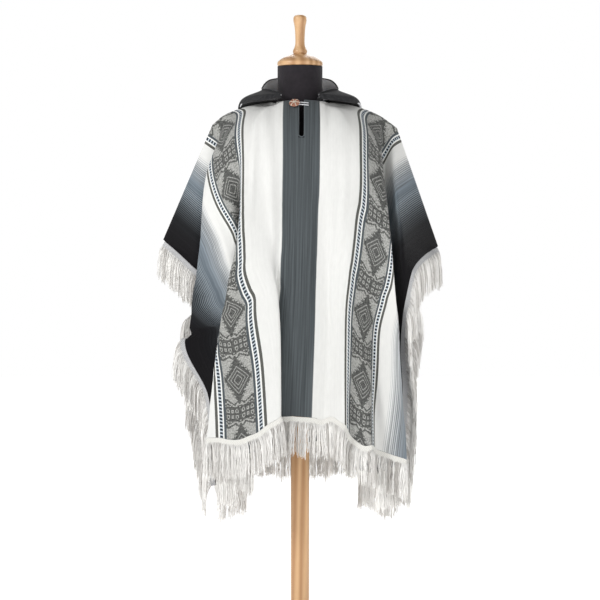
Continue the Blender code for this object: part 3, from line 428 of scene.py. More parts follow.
# ---- drape of a side
class SideDrape:
    """One side of the front or the back panel, from the middle to its edge."""

    RAYS = 121
    THREADS = 61
    STEPS_TO_TIP = 44
    STEPS_PAST_TIP = 100
    PAST_EDGE = 0.04
    RUN_OUT_FROM = 0.93  # share of its reach from which a fold closes with the side edge
    TAPS = (1, 8, 28, 56, 70, 56, 28, 8, 1)
    LEAST_FALL = 0.04  # least square of how far a thread falls for its length
    PUSH_FADE = 1.6  # how fast the neck's push dies away

    def __init__(self, side: Side, folds: Sequence[Fold], edge: Sequence[EdgePoint],
                 facing: Facing, length: float, neck: NeckHole) -> None:
        """Works out where every thread and ray of this side hangs."""
        self.side = side
        self.neck = neck
        self.folds = folds
        self.edge = edge
        self.facing = facing.value
        self.fan = HALF_WIDTH - side.shoulder_out
        self.reach_end = math.hypot(self.fan, length)
        past_tip = np.hypot(self.fan, np.linspace(0.0, length, self.STEPS_PAST_TIP))
        self.reaches = np.concatenate([np.linspace(0.0, self.fan, self.STEPS_TO_TIP)[:-1], past_tip])
        self._hang()

    def edge_plan(self, reach: float) -> tuple[float, float]:
        """Plan point of the cloth's outer end at one reach: arm fold or side edge."""
        side = self.side
        if reach <= self.fan:
            t = reach / self.fan
            out = side.shoulder_out + t * (side.tip_out - side.shoulder_out)
            return out, t * side.tip_forward * self.facing
        down = math.sqrt(reach**2 - self.fan**2)
        plan = smooth_through([p.down for p in self.edge], [p[1:] for p in self.edge], down)
        return float(plan[0]), float(plan[1])

    def section(self, reach: float) -> tuple[Array, Array, float]:
        """Flat distances from the middle and plan points of the folds at one reach."""
        points = []
        outer = np.array(self.edge_plan(reach))
        for fold in self.folds:
            if not self._ended(fold, reach):
                rows = ((fold.top, 0.0), fold.at_14, fold.at_34, fold.at_60, fold.at_90)
                point = smooth_through(REACHES, rows, reach)
                points.append(point + self._run_out(fold, reach) * (outer - point))
        points.append(outer)
        plan = np.array(points)
        laid = np.concatenate([[0.0], np.cumsum(np.hypot(*np.diff(plan, axis=0).T))])
        spread = math.pi / 2 - math.acos(min(1.0, self.fan / max(reach, 1e-6)))
        flat = self.side.shoulder_out + reach * spread
        return laid * flat / laid[-1], plan, flat

    def rounded(self, knots: Array, plan: Array, flat: float, at: Array) -> Array:
        """Plan points at flat distances, with every fold turned over a length."""
        total = np.zeros((len(at), 2))
        for offset, weight in zip(np.linspace(-1.0, 1.0, len(self.TAPS)), self.TAPS):
            where = at + offset * FOLD_ROUNDING
            inside = np.clip(where, 0.0, flat)
            for axis in (0, 1):
                value = np.interp(inside, knots, plan[:, axis])
                mirror = np.interp(np.clip(2 * inside - where, 0.0, flat), knots, plan[:, axis])
                total[:, axis] += weight * (2 * value - mirror)
        return total / sum(self.TAPS)

    def _hang(self) -> None:
        """Works out the plan and height of every thread and ray of the fan."""
        side = self.side
        threads = np.linspace(0.0, side.shoulder_out, self.THREADS)
        rays = np.linspace(math.pi / 2, 0.0, self.RAYS)[1:]
        count = self.THREADS + self.RAYS - 1
        self.plan = np.zeros((count, len(self.reaches), 2))
        for i, reach in enumerate(self.reaches):
            knots, plan, flat = self.section(reach)
            at = np.concatenate([threads, side.shoulder_out + reach * (math.pi / 2 - rays)])
            self.plan[:, i] = self.rounded(knots, plan, flat, np.minimum(at, flat + self.PAST_EDGE))
        self.plan[: self.THREADS, :, 1] += self.neck_push(threads[:, None], self.reaches)
        step = np.diff(self.reaches)
        moved = np.hypot(*np.moveaxis(np.diff(self.plan, axis=1), 2, 0)) / step
        fall = np.sqrt(np.maximum(1.0 - moved**2, self.LEAST_FALL)) * step
        start = np.append(self.neck.edge(threads), np.zeros(len(rays)))[:, None]
        fall *= np.clip((self.reaches[1:] - start) / step, 0.0, 1.0)
        rise = SHOULDER_RISE + (side.shoulder_out,)
        top = smooth_through(rise, SHOULDER_DROP + (side.shoulder_z,), threads)
        top = np.append(top, np.full(len(rays), side.shoulder_z))
        dropped = np.concatenate([np.zeros((count, 1)), np.cumsum(fall, axis=1)], axis=1)
        self.height = top[:, None] - dropped
        self.lines = count

    def neck_push(self, across: Array, down: Array) -> Array:
        """How far the neck pushes the cloth out at a flat point."""
        spread = NECK_HALF_WIDTH + NECK_PUSH_SPREAD * down
        near = np.sqrt(np.clip(1.0 - (across / spread) ** 2, 0.0, 1.0))
        fade = np.clip(1.0 - (down - self.neck.depth) / NECK_PUSH_REACH, 0.0, 1.0)
        return self.neck.push * near * fade**self.PUSH_FADE

    def flat_of(self, reach: float, laid: float) -> tuple[float, float]:
        """Flat point at a reach and a length laid out from the middle."""
        start = self.side.shoulder_out
        if laid <= start or reach <= 0.0:
            return min(laid, start), reach
        turn = math.pi / 2 - (laid - start) / reach
        return start + reach * math.cos(turn), reach * math.sin(turn)

    def knots(self, reach: float) -> tuple[dict[str, float], float]:
        """Flat distance from the middle of each fold still on the cloth, by name."""
        laid, _, flat = self.section(reach)
        return dict(zip([f.name for f in self.folds if not self._ended(f, reach)], laid)), flat

    def run_off(self, fold: Fold) -> float:
        """Reach at which an arm fold runs off the side edge."""
        return self.fan / math.cos(math.radians(fold.ray))

    def _run_out(self, fold: Fold, reach: float) -> float:
        """How far a fold has closed with the side edge, from 0 to 1 where it runs off."""
        if fold.ray is None:
            return 0.0
        share = (reach / self.run_off(fold) - self.RUN_OUT_FROM) / (1.0 - self.RUN_OUT_FROM)
        return eased(float(np.clip(share, 0.0, 1.0)))

    def _ended(self, fold: Fold, reach: float) -> bool:
        """Whether a fold has run off the side edge at this reach."""
        return fold.ray is not None and reach >= self.run_off(fold)

    def place(self, across: Array, down: Array) -> Array:
        """World points of the flat points (across >= 0, down)."""
        side = self.side
        past = np.maximum(across - side.shoulder_out, 0.0)
        reach = np.hypot(past, down)
        angle = np.where(past > 0, np.arctan2(down, np.maximum(past, 1e-9)), math.pi / 2)
        thread = np.minimum(across / side.shoulder_out, 1.0) * (self.THREADS - 1)
        ray = (1.0 - angle / (math.pi / 2)) * (self.RAYS - 1)
        line = np.where(past > 0, self.THREADS - 1 + ray, thread)
        row = np.interp(reach, self.reaches, np.arange(len(self.reaches)))
        i = np.clip(line.astype(int), 0, self.lines - 2)
        j = np.clip(row.astype(int), 0, len(self.reaches) - 2)
        a, b = (line - i)[..., None], (row - j)[..., None]
        hung = np.concatenate([self.plan, self.height[..., None]], axis=2)
        found = ((1 - a) * (1 - b) * hung[i, j] + a * (1 - b) * hung[i + 1, j]
                 + (1 - a) * b * hung[i, j + 1] + a * b * hung[i + 1, j + 1])
        x = side.sign * found[..., 0] + CLOTH_SHIFT
        return np.stack([x, -self.facing * found[..., 1], found[..., 2]], axis=-1)


class SideGrid:
    """Columns of one side of a panel, laid along its fold lines."""

    HALVINGS = 22  # halvings that find where a column leaves the cloth
    RAY_DRAW = 6  # power by which a fold line joins its ray near its end

    def __init__(self, drape: SideDrape, length: float) -> None:
        """Lists the fold lines and finds the column that runs to the cloth's corner."""
        self.drape = drape
        self.length = length
        hanging = [f.name for f in drape.folds if f.ray is None]
        arm = [f.name for f in drape.folds if f.ray is not None]
        self.ends = {f.name: drape.run_off(f) for f in drape.folds if f.ray is not None}
        self.lines = hanging + ["corner"] + arm + ["shoulder fold"]
        self.last_hanging, self.first_arm = hanging[-1], arm[0]
        corner_reach = math.hypot(drape.fan, length)
        corner_laid = drape.side.shoulder_out + corner_reach * math.asin(drape.fan / corner_reach)
        inner = self.line_at(self.last_hanging, corner_reach)
        outer = self.line_at(self.first_arm, corner_reach)
        self.corner_share = (corner_laid - inner) / (outer - inner)

    def line_at(self, name: str, reach: float) -> float:
        """Flat distance from the middle of a fold line, also past its end."""
        start = self.drape.side.shoulder_out
        if name == "middle":
            return SLIT_HALF_WIDTH
        if name == "shoulder fold":
            return start + reach * math.pi / 2
        if name == "corner":
            inner = self.line_at(self.last_hanging, reach)
            outer = self.line_at(self.first_arm, reach)
            return inner + self.corner_share * (outer - inner)
        found, _ = self.drape.knots(reach)
        if name not in self.ends:
            return found[name]
        end = self.ends[name]
        at_end = start + end * (math.pi / 2 - math.acos(self.drape.fan / end))
        near = min(1.0, (reach / end) ** self.RAY_DRAW)
        ray = start + reach * (at_end - start) / end
        return ray if name not in found else found[name] * (1 - near) + ray * near

    def laid_at(self, line: int, place: str, reach: float) -> float:
        """Flat distance from the middle of a column, stated against a fold line."""
        here = self.line_at(self.lines[line], reach)
        if place == "on":
            return here
        there = self.line_at(self.lines[line + (-1 if place == "before" else 1)], reach)
        if place == "between":
            return (here + there) / 2
        span = max(abs(there - here), 1e-9)
        return here + (there - here) * min(FLANK_SHARE, FLANK / span)

    def end_of(self, line: int, place: str) -> float:
        """Reach at which a column leaves the cloth."""
        near, far = 0.0, self.drape.reach_end
        for _ in range(self.HALVINGS):
            reach = (near + far) / 2
            across, down = self.drape.flat_of(reach, self.laid_at(line, place, reach))
            off_cloth = down > self.length or across > HALF_WIDTH
            near, far = (near, reach) if off_cloth else (reach, far)
        return (near + far) / 2

    def places(self) -> list[tuple[int, str]]:
        """Every column of the side: a fold line's index and a place against it."""
        made = []
        for line, name in enumerate(self.lines):
            exact = name in ("middle", "corner", "shoulder fold")
            made.extend([(line, "on")] if exact else [(line, "before"), (line, "after")])
            if line + 1 < len(self.lines) and self.lines[line + 1] not in NARROW_FOLDS:
                made.append((line, "between"))
        return made

    def columns(self) -> Array:
        """Flat points (row, column, 2) from the middle to the shoulder fold."""
        return np.array([self.column(*place) for place in self.places()]).transpose(1, 0, 2)

    def column(self, line: int, place: str) -> list[tuple[float, float]]:
        """Flat points of one column, from the shoulder fold to the cloth's edge."""
        end = self.end_of(line, place)
        start = float(self.drape.neck.edge(self.laid_at(line, place, 0.0))) + SEAM_GAP / 2
        points = []
        for share in ROW_SHARES:
            reach = start + share * (end - start)
            across, down = self.drape.flat_of(reach, self.laid_at(line, place, reach))
            points.append((min(across, HALF_WIDTH), max(down, SEAM_GAP / 2)))
        return points

    def corner_column(self) -> int:
        """Index of the column that ends at the cloth's corner."""
        return self.places().index((self.lines.index("corner"), "on"))


# ---- the panels
@dataclass
class ClothPanel:
    """The front or the back of the poncho, woven in one piece with its stripes."""

    name: str
    facing: Facing
    length: float
    neck: NeckHole
    folds: dict[str, Sequence[Fold]]
    edges: dict[str, Sequence[EdgePoint]]
    creases: Sequence[Crease]
    slit: bool = False
    rows: int = 118
    spacing: float = 0.0085
    neck_fade: float = 0.12
    swell: Swell = Swell()
    sides: dict[float, SideDrape] = field(default_factory=dict)
    trims: list[Piece] = field(default_factory=list)
    flat: Array = field(init=False)
    points: Array = field(init=False)
    directions: Array = field(init=False)
    keep: Array = field(init=False)
    corners: tuple[int, int] = field(init=False)
    piece: Piece = field(init=False)

    def __post_init__(self) -> None:
        """Hangs both sides."""
        for side in (LEFT, RIGHT):
            self.sides[side.sign] = SideDrape(side, self.folds[side.name], self.edges[side.name],
                                              self.facing, self.length, self.neck)

    def place(self, across: Array, down: Array) -> Array:
        """World points of flat points, across from -HALF_WIDTH to HALF_WIDTH."""
        across, down = np.broadcast_arrays(np.asarray(across, float), np.asarray(down, float))
        left = self.sides[-1.0].place(np.abs(across), down)
        right = self.sides[1.0].place(np.abs(across), down)
        return np.where((across < 0)[..., None], left, right)

    def lay_out(self, other: ClothPanel) -> None:
        """Works out the fine grid of the panel: flat places, points and directions.

        Args:
            other: The panel on the other side of the shoulder fold.
        """
        left = SideGrid(self.sides[-1.0], self.length)
        right = SideGrid(self.sides[1.0], self.length)
        flat_left, flat_right = left.columns(), right.columns()
        flat_left[..., 0] *= -1.0
        coarse = np.concatenate([flat_left[:, ::-1], flat_right], axis=1)
        middle = flat_left.shape[1]
        corners = (middle - 1 - left.corner_column(), middle + right.corner_column())
        shares = np.linspace(0.0, 1.0, self.rows)
        tall = smooth_through(ROW_SHARES, coarse, shares)
        columns, starts = [], []
        for k in range(tall.shape[1] - 1):
            gap = np.linalg.norm(tall[:, k + 1] - tall[:, k], axis=1).max()
            parts = max(2, math.ceil(gap / self.spacing))
            starts.append(len(columns))
            columns.extend(tall[:, k] + (tall[:, k + 1] - tall[:, k]) * n / parts for n in range(parts))
        starts.append(len(columns))
        columns.append(tall[:, -1])
        self.flat = np.stack(columns, axis=1)
        self.corners = (starts[corners[0]], starts[corners[1]])
        self._fit_neck(shares)
        self.points = self.place(self.flat[..., 0], self.flat[..., 1])
        self.directions = grid_normals(self.points)
        self.points = self.points - self.directions * self._sunk()[..., None]
        self.directions = grid_normals(self.points)
        on_seam = (self.flat[..., 1] < SEAM_GAP) & (np.abs(self.flat[..., 0]) > NECK_HALF_WIDTH)
        self.directions[on_seam] = self._seam_directions(other, self.flat[on_seam, 0])
        self.keep = np.ones((self.rows - 1, self.flat.shape[1] - 1), bool)
        if self.slit:
            centre = (self.flat[:-1, :-1, 0] + self.flat[:-1, 1:, 0]) / 2
            in_slit = (np.abs(centre) < SLIT_HALF_WIDTH) & (shares[:-1, None] < ROW_SHARES[SLIT_ROWS])
            self.keep &= ~in_slit

    def _fit_neck(self, shares: Array) -> None:
        """Lets the upper rows follow the round neck hole between the columns."""
        top = self.flat[0]
        inside = np.abs(top[:, 0]) < NECK_HALF_WIDTH
        wanted = np.where(inside, self.neck.edge(top[:, 0]) + SEAM_GAP / 2, top[:, 1])
        fade = np.clip(1.0 - shares / self.neck_fade, 0.0, 1.0)[:, None]
        self.flat[..., 1] += (wanted - top[:, 1]) * fade

    def _sunk(self) -> Array:
        """How far creases and a slow swell sink the cloth at each grid point."""
        across, down = self.flat[..., 0], self.flat[..., 1]
        sunk = np.zeros_like(across)
        for crease in self.creases:
            along = (down - crease.start) / crease.length
            fade = np.sin(np.pi * np.clip(along, 0.0, 1.0)) ** CREASE_FADE
            line = crease.across + crease.lean * (down - crease.start)
            sunk += CREASE_SCALE * crease.depth * fade * np.exp(-((across - line) / crease.width) ** 2)
        inside = np.minimum(down - self.swell.flat_top, self.length - down)
        edge = np.clip(inside / self.swell.hem_fade, 0.0, 1.0)
        side = np.clip((HALF_WIDTH - np.abs(across)) / self.swell.side_fade, 0.0, 1.0)
        return (sunk + self.swell.over(across, down)) * edge * side

    def _seam_directions(self, other: ClothPanel, across: Array) -> Array:
        """Wall directions along the shoulder fold, the same for both panels."""
        step = 0.01
        forward = (self.place(across, step) - other.place(across, step)) * self.facing.value
        inner = np.clip(across - step / 2, -HALF_WIDTH, HALF_WIDTH)
        outer = np.clip(across + step / 2, -HALF_WIDTH, HALF_WIDTH)
        along = self.place(outer, 0.0) - self.place(inner, 0.0)
        return -self.facing.value * unit(np.cross(forward, along))

    def run(self, edge: Edge) -> range:
        """Columns whose ends make one edge, in order."""
        low, high = self.corners
        return {Edge.HEM: range(low, high + 1), Edge.LEFT: range(0, low + 1),
                Edge.RIGHT: range(high, self.points.shape[1])}[edge]

    def build(self, cloth: Material) -> Piece:
        """Makes the woven wall and dresses it."""
        piece = sheet_wall(f"woven_{self.name}", self.points, self.directions, WALL, self.flat, self.keep)
        coat(piece, cloth, cloth)
        self.piece = piece
        return piece

    def face(self, across: float, down: float, lift: float) -> tuple[Array, Array, Array]:
        """A point that stands off the outer face, with its axis and normal there."""
        step = 0.004
        right = unit(self.place(across + step, down) - self.place(across - step, down))
        below = unit(self.place(across, down + step) - self.place(across, down - step))
        normal = unit(np.cross(below, right))
        return self.place(across, down) + normal * (WALL / 2 + lift), right, normal


# ---- fringes
@dataclass(frozen=True)
class YarnHabit:
    """How strands differ from one another, and what the strands of a clump share.

    Leans and sways are added to a heading of length one, root_depth is in
    metres, phase and wave_turn are in radians, and the rest are shares.
    """

    root_shift: float = 0.4
    root_depth: float = 0.0022
    layer_offset: float = 0.42
    layer_lean: float = 0.10
    out_lean: float = 0.06
    side_lean: float = 0.15
    clump_lean: float = 0.09
    length: tuple[float, float] = (-0.12, 0.06)
    clump_length: float = 0.045
    tone: float = 0.60
    strand_tone: float = 0.22
    clump_tone: float = 0.24
    phase: float = 6.28
    wave: tuple[float, float] = (0.14, 0.50)
    wave_turn: float = 2.1
    clump_sway: float = 0.05
    slide: float = 0.12
    taper: float = 0.35


@dataclass
class Fringe:
    """A woven tape along one edge of a panel, with the yarn that hangs from it."""

    panel: ClothPanel
    edge: Edge
    name: str
    seed: int
    tape_height: float = 0.014
    tape_thickness: float = 0.0022
    gap: float = 0.0006
    least_tape: float = 0.25
    tip_clearance: float = 0.006
    pitch: float = 0.0007
    yarn_length: float = 0.086
    yarn_radius: float = 0.00100
    steps: int = 7
    clump_pitch: float = 0.0062
    droop: float = 0.95
    clearance: float = 0.003
    look_ahead: float = 1.6
    skin: float = 0.001
    habit: YarnHabit = YarnHabit()
    near: Array = field(init=False)
    far: Array = field(init=False)
    away: Array = field(init=False)
    normal: Array = field(init=False)

    TAPE_ROWS = 4
    AWAY_PASSES = 6
    NORMAL_PASSES = 2
    HEIGHT_PASSES = 3
    OFF_AXIS = (0.31, 0.52, 0.79)

    def build(self, trees: Trees, tape: Material,
              yarn: Material) -> tuple[Piece, Piece]:
        """Makes the tape and its yarn.

        Args:
            trees: The panels that yarn lies on.
            tape: Finish of the tape.
            yarn: Finish of the yarn.

        Returns:
            The tape and the yarn.
        """
        self._lay_rim(trees)
        shares = np.linspace(0.0, 1.0, self.TAPE_ROWS)[:, None, None]
        grid = self.near + (self.far - self.near) * shares
        run = np.append(0.0, np.cumsum(np.linalg.norm(np.diff(self.near, axis=0), axis=1)))
        flat = np.stack(np.broadcast_arrays(run[None, :], shares[..., 0] * self.tape_height), axis=-1)
        normals = np.broadcast_to(self.normal, grid.shape)
        band = sheet_wall(f"{self.name}_tape", grid, normals, self.tape_thickness, flat)
        coat(band, tape, tape)
        strands = self._yarn(trees, run)
        coat(strands, yarn)
        return band, strands

    def _lay_rim(self, trees: Trees) -> None:
        """Works out the tape's inner and outer edges and its thickness directions."""
        panel = self.panel
        columns = list(panel.run(self.edge))
        rim = panel.points[-1, columns].copy()
        normal = panel.directions[-1, columns].copy()
        inner = panel.points[-3, columns]
        if self.edge is not Edge.HEM:
            tip = 0 if self.edge is Edge.LEFT else -1
            away_from_tip = np.linalg.norm(rim - rim[tip], axis=1)
            kept = away_from_tip > self.tip_clearance
            rim, normal, inner = rim[kept], normal[kept], inner[kept]
        steps = unit(np.diff(rim, axis=0))
        turns = unit(np.concatenate([steps[:1], steps[:-1] + steps[1:], steps[-1:]]))
        away = rim - inner
        away = unit(away - turns * np.sum(away * turns, axis=1, keepdims=True))
        away = unit(evened(away, self.AWAY_PASSES))
        self.normal = unit(evened(normal, self.NORMAL_PASSES))
        self.near = rim + away * self.gap
        free = [min(self._free(trees, p + side, a) for side in (n, -n))
                for p, a, n in zip(self.near, away, self.normal * self.tape_thickness / 2)]
        free = evened(np.minimum(free, 1.0), self.HEIGHT_PASSES)
        height = self.tape_height * np.clip(free, self.least_tape, 1.0)
        self.far = self.near + away * height[:, None]
        self.away = away

    def _free(self, trees: Trees, start: Array, way: Array) -> float:
        """How much of the tape's height is clear of the panels, from 0 to 1 and over."""
        reach = self.tape_height * self.look_ahead
        start = start + way * self.skin
        nearest = min((tree.ray_cast(start, way, reach)[3] or reach) for tree in trees)
        return (nearest - self.clearance) / self.tape_height

    def _yarn(self, trees: Trees, run: Array) -> Piece:
        """Hangs the yarn from the tape's outer edge, strand by strand."""
        draw = np.random.default_rng(self.seed)
        habit = self.habit
        count = int(run[-1] / self.pitch)
        vertices, faces, uvs, tones = [], [], [], []
        for n in range(count):
            at = (n + 0.5 + draw.uniform(-habit.root_shift, habit.root_shift)) * self.pitch
            k = int(np.clip(np.searchsorted(run, at) - 1, 0, len(run) - 2))
            t = float(np.clip((at - run[k]) / max(run[k + 1] - run[k], 1e-9), 0.0, 1.0))
            curl = self._clump_curl(int(at / self.clump_pitch))
            root = (1 - t) * self.far[k] + t * self.far[k + 1]
            away = unit((1 - t) * self.away[k] + t * self.away[k + 1])
            normal = unit((1 - t) * self.normal[k] + t * self.normal[k + 1])
            along = unit(self.far[k + 1] - self.far[k])
            layer = draw.choice((-1.0, 0.0, 1.0))
            root = root - away * habit.root_depth + normal * layer * self.tape_thickness * habit.layer_offset
            start = unit(away + normal * (habit.layer_lean * layer + draw.normal(0, habit.out_lean))
                         + along * (habit.clump_lean * curl[0] + draw.normal(0, habit.side_lean)))
            length = self.yarn_length * (1.0 + habit.clump_length * curl[1] + draw.uniform(*habit.length))
            path = self._strand(trees, root, start, along, length, curl, draw)
            self._tube(path, vertices, faces, uvs)
            tone = habit.tone + habit.clump_tone * curl[2] + draw.normal(0, habit.strand_tone)
            tones.extend([float(np.clip(tone, 0.0, 1.0))] * len(path) * 4)
        piece = mesh_piece(f"{self.name}_yarn", np.array(vertices), faces, smooth_deg=80.0)
        lay_uv(piece, np.array(uvs))
        tone = piece.data.attributes.new("tone", "FLOAT", "POINT")
        tone.data.foreach_set("value", np.array(tones, np.float32))
        return piece

    def _clump_curl(self, clump: int) -> Array:
        """Lean, length, tone and sway that the strands of one clump share."""
        return np.random.default_rng(self.seed * 1009 + clump).normal(0.0, 1.0, 4)

    def _strand(self, trees: Trees, root: Array, start: Array, along: Array,
                length: float, curl: Array, draw: np.random.Generator) -> Array:
        """Points of one strand that falls under its weight and slides off the cloth."""
        points = [root]
        heading = start
        step = length / self.steps
        habit = self.habit
        phase, wave = draw.uniform(0, habit.phase), draw.uniform(*habit.wave)
        for n in range(self.steps):
            sway = along * wave * math.sin(phase + habit.wave_turn * n) + curl[3] * habit.clump_sway * along
            heading = unit(heading + np.array((0.0, 0.0, -self.droop)) + sway)
            point = points[-1]
            for tree in trees:
                place, face, _, distance = tree.ray_cast(point, heading, step + self.clearance)
                if place is not None:
                    face = np.array(face) * (-1.0 if np.dot(face, heading) > 0 else 1.0)
                    heading = unit(heading - face * np.dot(heading, face) + face * habit.slide)
            points.append(point + heading * step)
        return np.array(points)

    def _tube(self, path: Array, vertices: list, faces: list, uvs: list) -> None:
        """Adds a four-sided tube along a strand, twisted as spun yarn is."""
        first = len(vertices)
        headings = unit(np.gradient(path, axis=0))
        side = unit(np.cross(headings[0], self.OFF_AXIS))
        last = len(path) - 1
        for n, (point, heading) in enumerate(zip(path, headings)):
            side = unit(side - heading * np.dot(side, heading))
            other = np.cross(heading, side)
            radius = self.yarn_radius * (1.0 - self.habit.taper * n / last)
            for a, b in ((1, 0), (0, 1), (-1, 0), (0, -1)):
                vertices.append(point + radius * (a * side + b * other))
                uvs.append((0.25 * len(uvs) % 1.0, n / last * self.yarn_length))
        for n in range(last):
            a = first + 4 * n
            faces.extend((a + i, a + (i + 1) % 4, a + 4 + (i + 1) % 4, a + 4 + i) for i in range(4))
        faces.append((first + 3, first + 2, first + 1, first))
        end = first + 4 * last
        faces.append((end, end + 1, end + 2, end + 3))


# ---- shader building
def linear(red: int, green: int, blue: int) -> Rgba:
    """A display colour of 0..255 a channel, as the scene-linear one with alpha."""
    return tuple((v / 255 / 12.92 if v / 255 <= 0.04045 else ((v / 255 + 0.055) / 1.055) ** 2.4)
                 for v in (red, green, blue)) + (1.0,)


def grey(level: float) -> Rgba:
    """A scene-linear grey with alpha."""
    return level, level, level, 1.0


class Graph:
    """Adds and joins the nodes of one shader tree."""

    def __init__(self, tree: NodeTree) -> None:
        """Takes the tree that nodes go into."""
        self.tree = tree

    def add(self, kind: str, **settings: object) -> bpy.types.Node:
        """Adds a node and sets its properties."""
        node = self.tree.nodes.new(kind)
        for name, value in settings.items():
            setattr(node, name, value)
        return node

    def feed(self, socket: Socket, value: object) -> None:
        """Links a socket into another, or sets a plain value on it."""
        if isinstance(value, bpy.types.NodeSocket):
            self.tree.links.new(value, socket)
        else:
            socket.default_value = value

    def math(self, operation: str, *values: object) -> Socket:
        """A Math node on up to three values."""
        node = self.add("ShaderNodeMath", operation=operation)
        for socket, value in zip(node.inputs, values):
            self.feed(socket, value)
        return node.outputs[0]

    def times(self, vector: Socket, factors: tuple[float, float, float]) -> Socket:
        """A vector multiplied part by part."""
        node = self.add("ShaderNodeVectorMath", operation="MULTIPLY")
        self.feed(node.inputs[0], vector)
        self.feed(node.inputs[1], factors)
        return node.outputs[0]

    def plus(self, first: Socket, second: Socket) -> Socket:
        """The sum of two vectors."""
        node = self.add("ShaderNodeVectorMath", operation="ADD")
        self.feed(node.inputs[0], first)
        self.feed(node.inputs[1], second)
        return node.outputs[0]

    def noise(self, vector: Socket, scale: float, detail: float = 2.0, colour: bool = False) -> Socket:
        """A noise over a vector, as one value or as three."""
        node = self.add("ShaderNodeTexNoise", noise_dimensions="3D")
        self.feed(node.inputs["Vector"], vector)
        self.feed(node.inputs["Scale"], scale)
        self.feed(node.inputs["Detail"], detail)
        return node.outputs["Color" if colour else "Fac"]

    def ramp(self, at: Socket, stops: Sequence, interpolation: str = "LINEAR") -> Socket:
        """The colour of a Color Ramp with the given (position, colour) stops."""
        node = self.add("ShaderNodeValToRGB")
        node.color_ramp.interpolation = interpolation
        elements = node.color_ramp.elements
        while len(elements) < len(stops):
            elements.new(1.0)
        for element, (position, colour) in zip(elements, stops):
            element.position = position
            element.color = colour
        self.feed(node.inputs["Fac"], at)
        return node.outputs["Color"]

    def mix(self, factor: object, first: object, second: object, blend: str = "MIX") -> Socket:
        """A colour between two, or one blended on the other."""
        node = self.add("ShaderNodeMix", data_type="RGBA", blend_type=blend)
        self.feed(node.inputs[0], factor)
        self.feed(node.inputs[6], first)
        self.feed(node.inputs[7], second)
        return node.outputs[2]

    def between(self, value: Socket, low: float, high: float) -> Socket:
        """1 where a value lies between two limits, and 0 elsewhere."""
        above = self.math("GREATER_THAN", value, low)
        return self.math("MULTIPLY", above, self.math("LESS_THAN", value, high))

    def spread(self, value: Socket, low: float, high: float) -> Socket:
        """A value of 0..1 spread over low..high."""
        return self.math("MULTIPLY_ADD", value, high - low, low)

    def lifted(self, wave: Socket) -> Socket:
        """A wave of -1..1 brought to 0..1."""
        return self.math("MULTIPLY_ADD", wave, 0.5, 0.5)

    def wave(self, value: Socket, pitch: object) -> Socket:
        """A sine of -1..1 that repeats at a pitch."""
        turn = self.math("MULTIPLY", self.math("DIVIDE", value, pitch), 2 * math.pi)
        return self.math("SINE", turn)

    def split(self, vector: Socket) -> tuple[Socket, Socket, Socket]:
        """The three parts of a vector."""
        node = self.add("ShaderNodeSeparateXYZ")
        self.feed(node.inputs[0], vector)
        return tuple(node.outputs)

    def uv(self, name: str = "flat") -> Socket:
        """A UV map of the piece."""
        return self.add("ShaderNodeUVMap", uv_map=name).outputs[0]

    def object_place(self) -> Socket:
        """The place of a point on the piece, in metres."""
        return self.add("ShaderNodeTexCoord").outputs["Object"]

    def group(self, tree: NodeTree, **values: object) -> bpy.types.Node:
        """Places a shared group with its own values; _ in a name stands for a space."""
        node = self.add("ShaderNodeGroup", node_tree=tree)
        for name, value in values.items():
            self.feed(node.inputs[name.replace("_", " ")], value)
        return node


def shared_group(name: str, inputs: Sequence, outputs: Sequence) -> tuple[NodeTree, Graph, dict]:
    """An empty node group with its sockets.

    Args:
        name: The group's name.
        inputs: Pairs of a socket's name and kind.
        outputs: Pairs of a socket's name and kind.

    Returns:
        The group, its graph, and its input sockets by name with the group's
        output node under "out".
    """
    tree = bpy.data.node_groups.new(name, "ShaderNodeTree")
    for label, kind in inputs:
        tree.interface.new_socket(name=label, in_out="INPUT", socket_type=f"NodeSocket{kind}")
    for label, kind in outputs:
        tree.interface.new_socket(name=label, in_out="OUTPUT", socket_type=f"NodeSocket{kind}")
    graph = Graph(tree)
    entry = graph.add("NodeGroupInput")
    sockets: dict = {label: entry.outputs[label] for label, _ in inputs}
    sockets["out"] = graph.add("NodeGroupOutput")
    return tree, graph, sockets


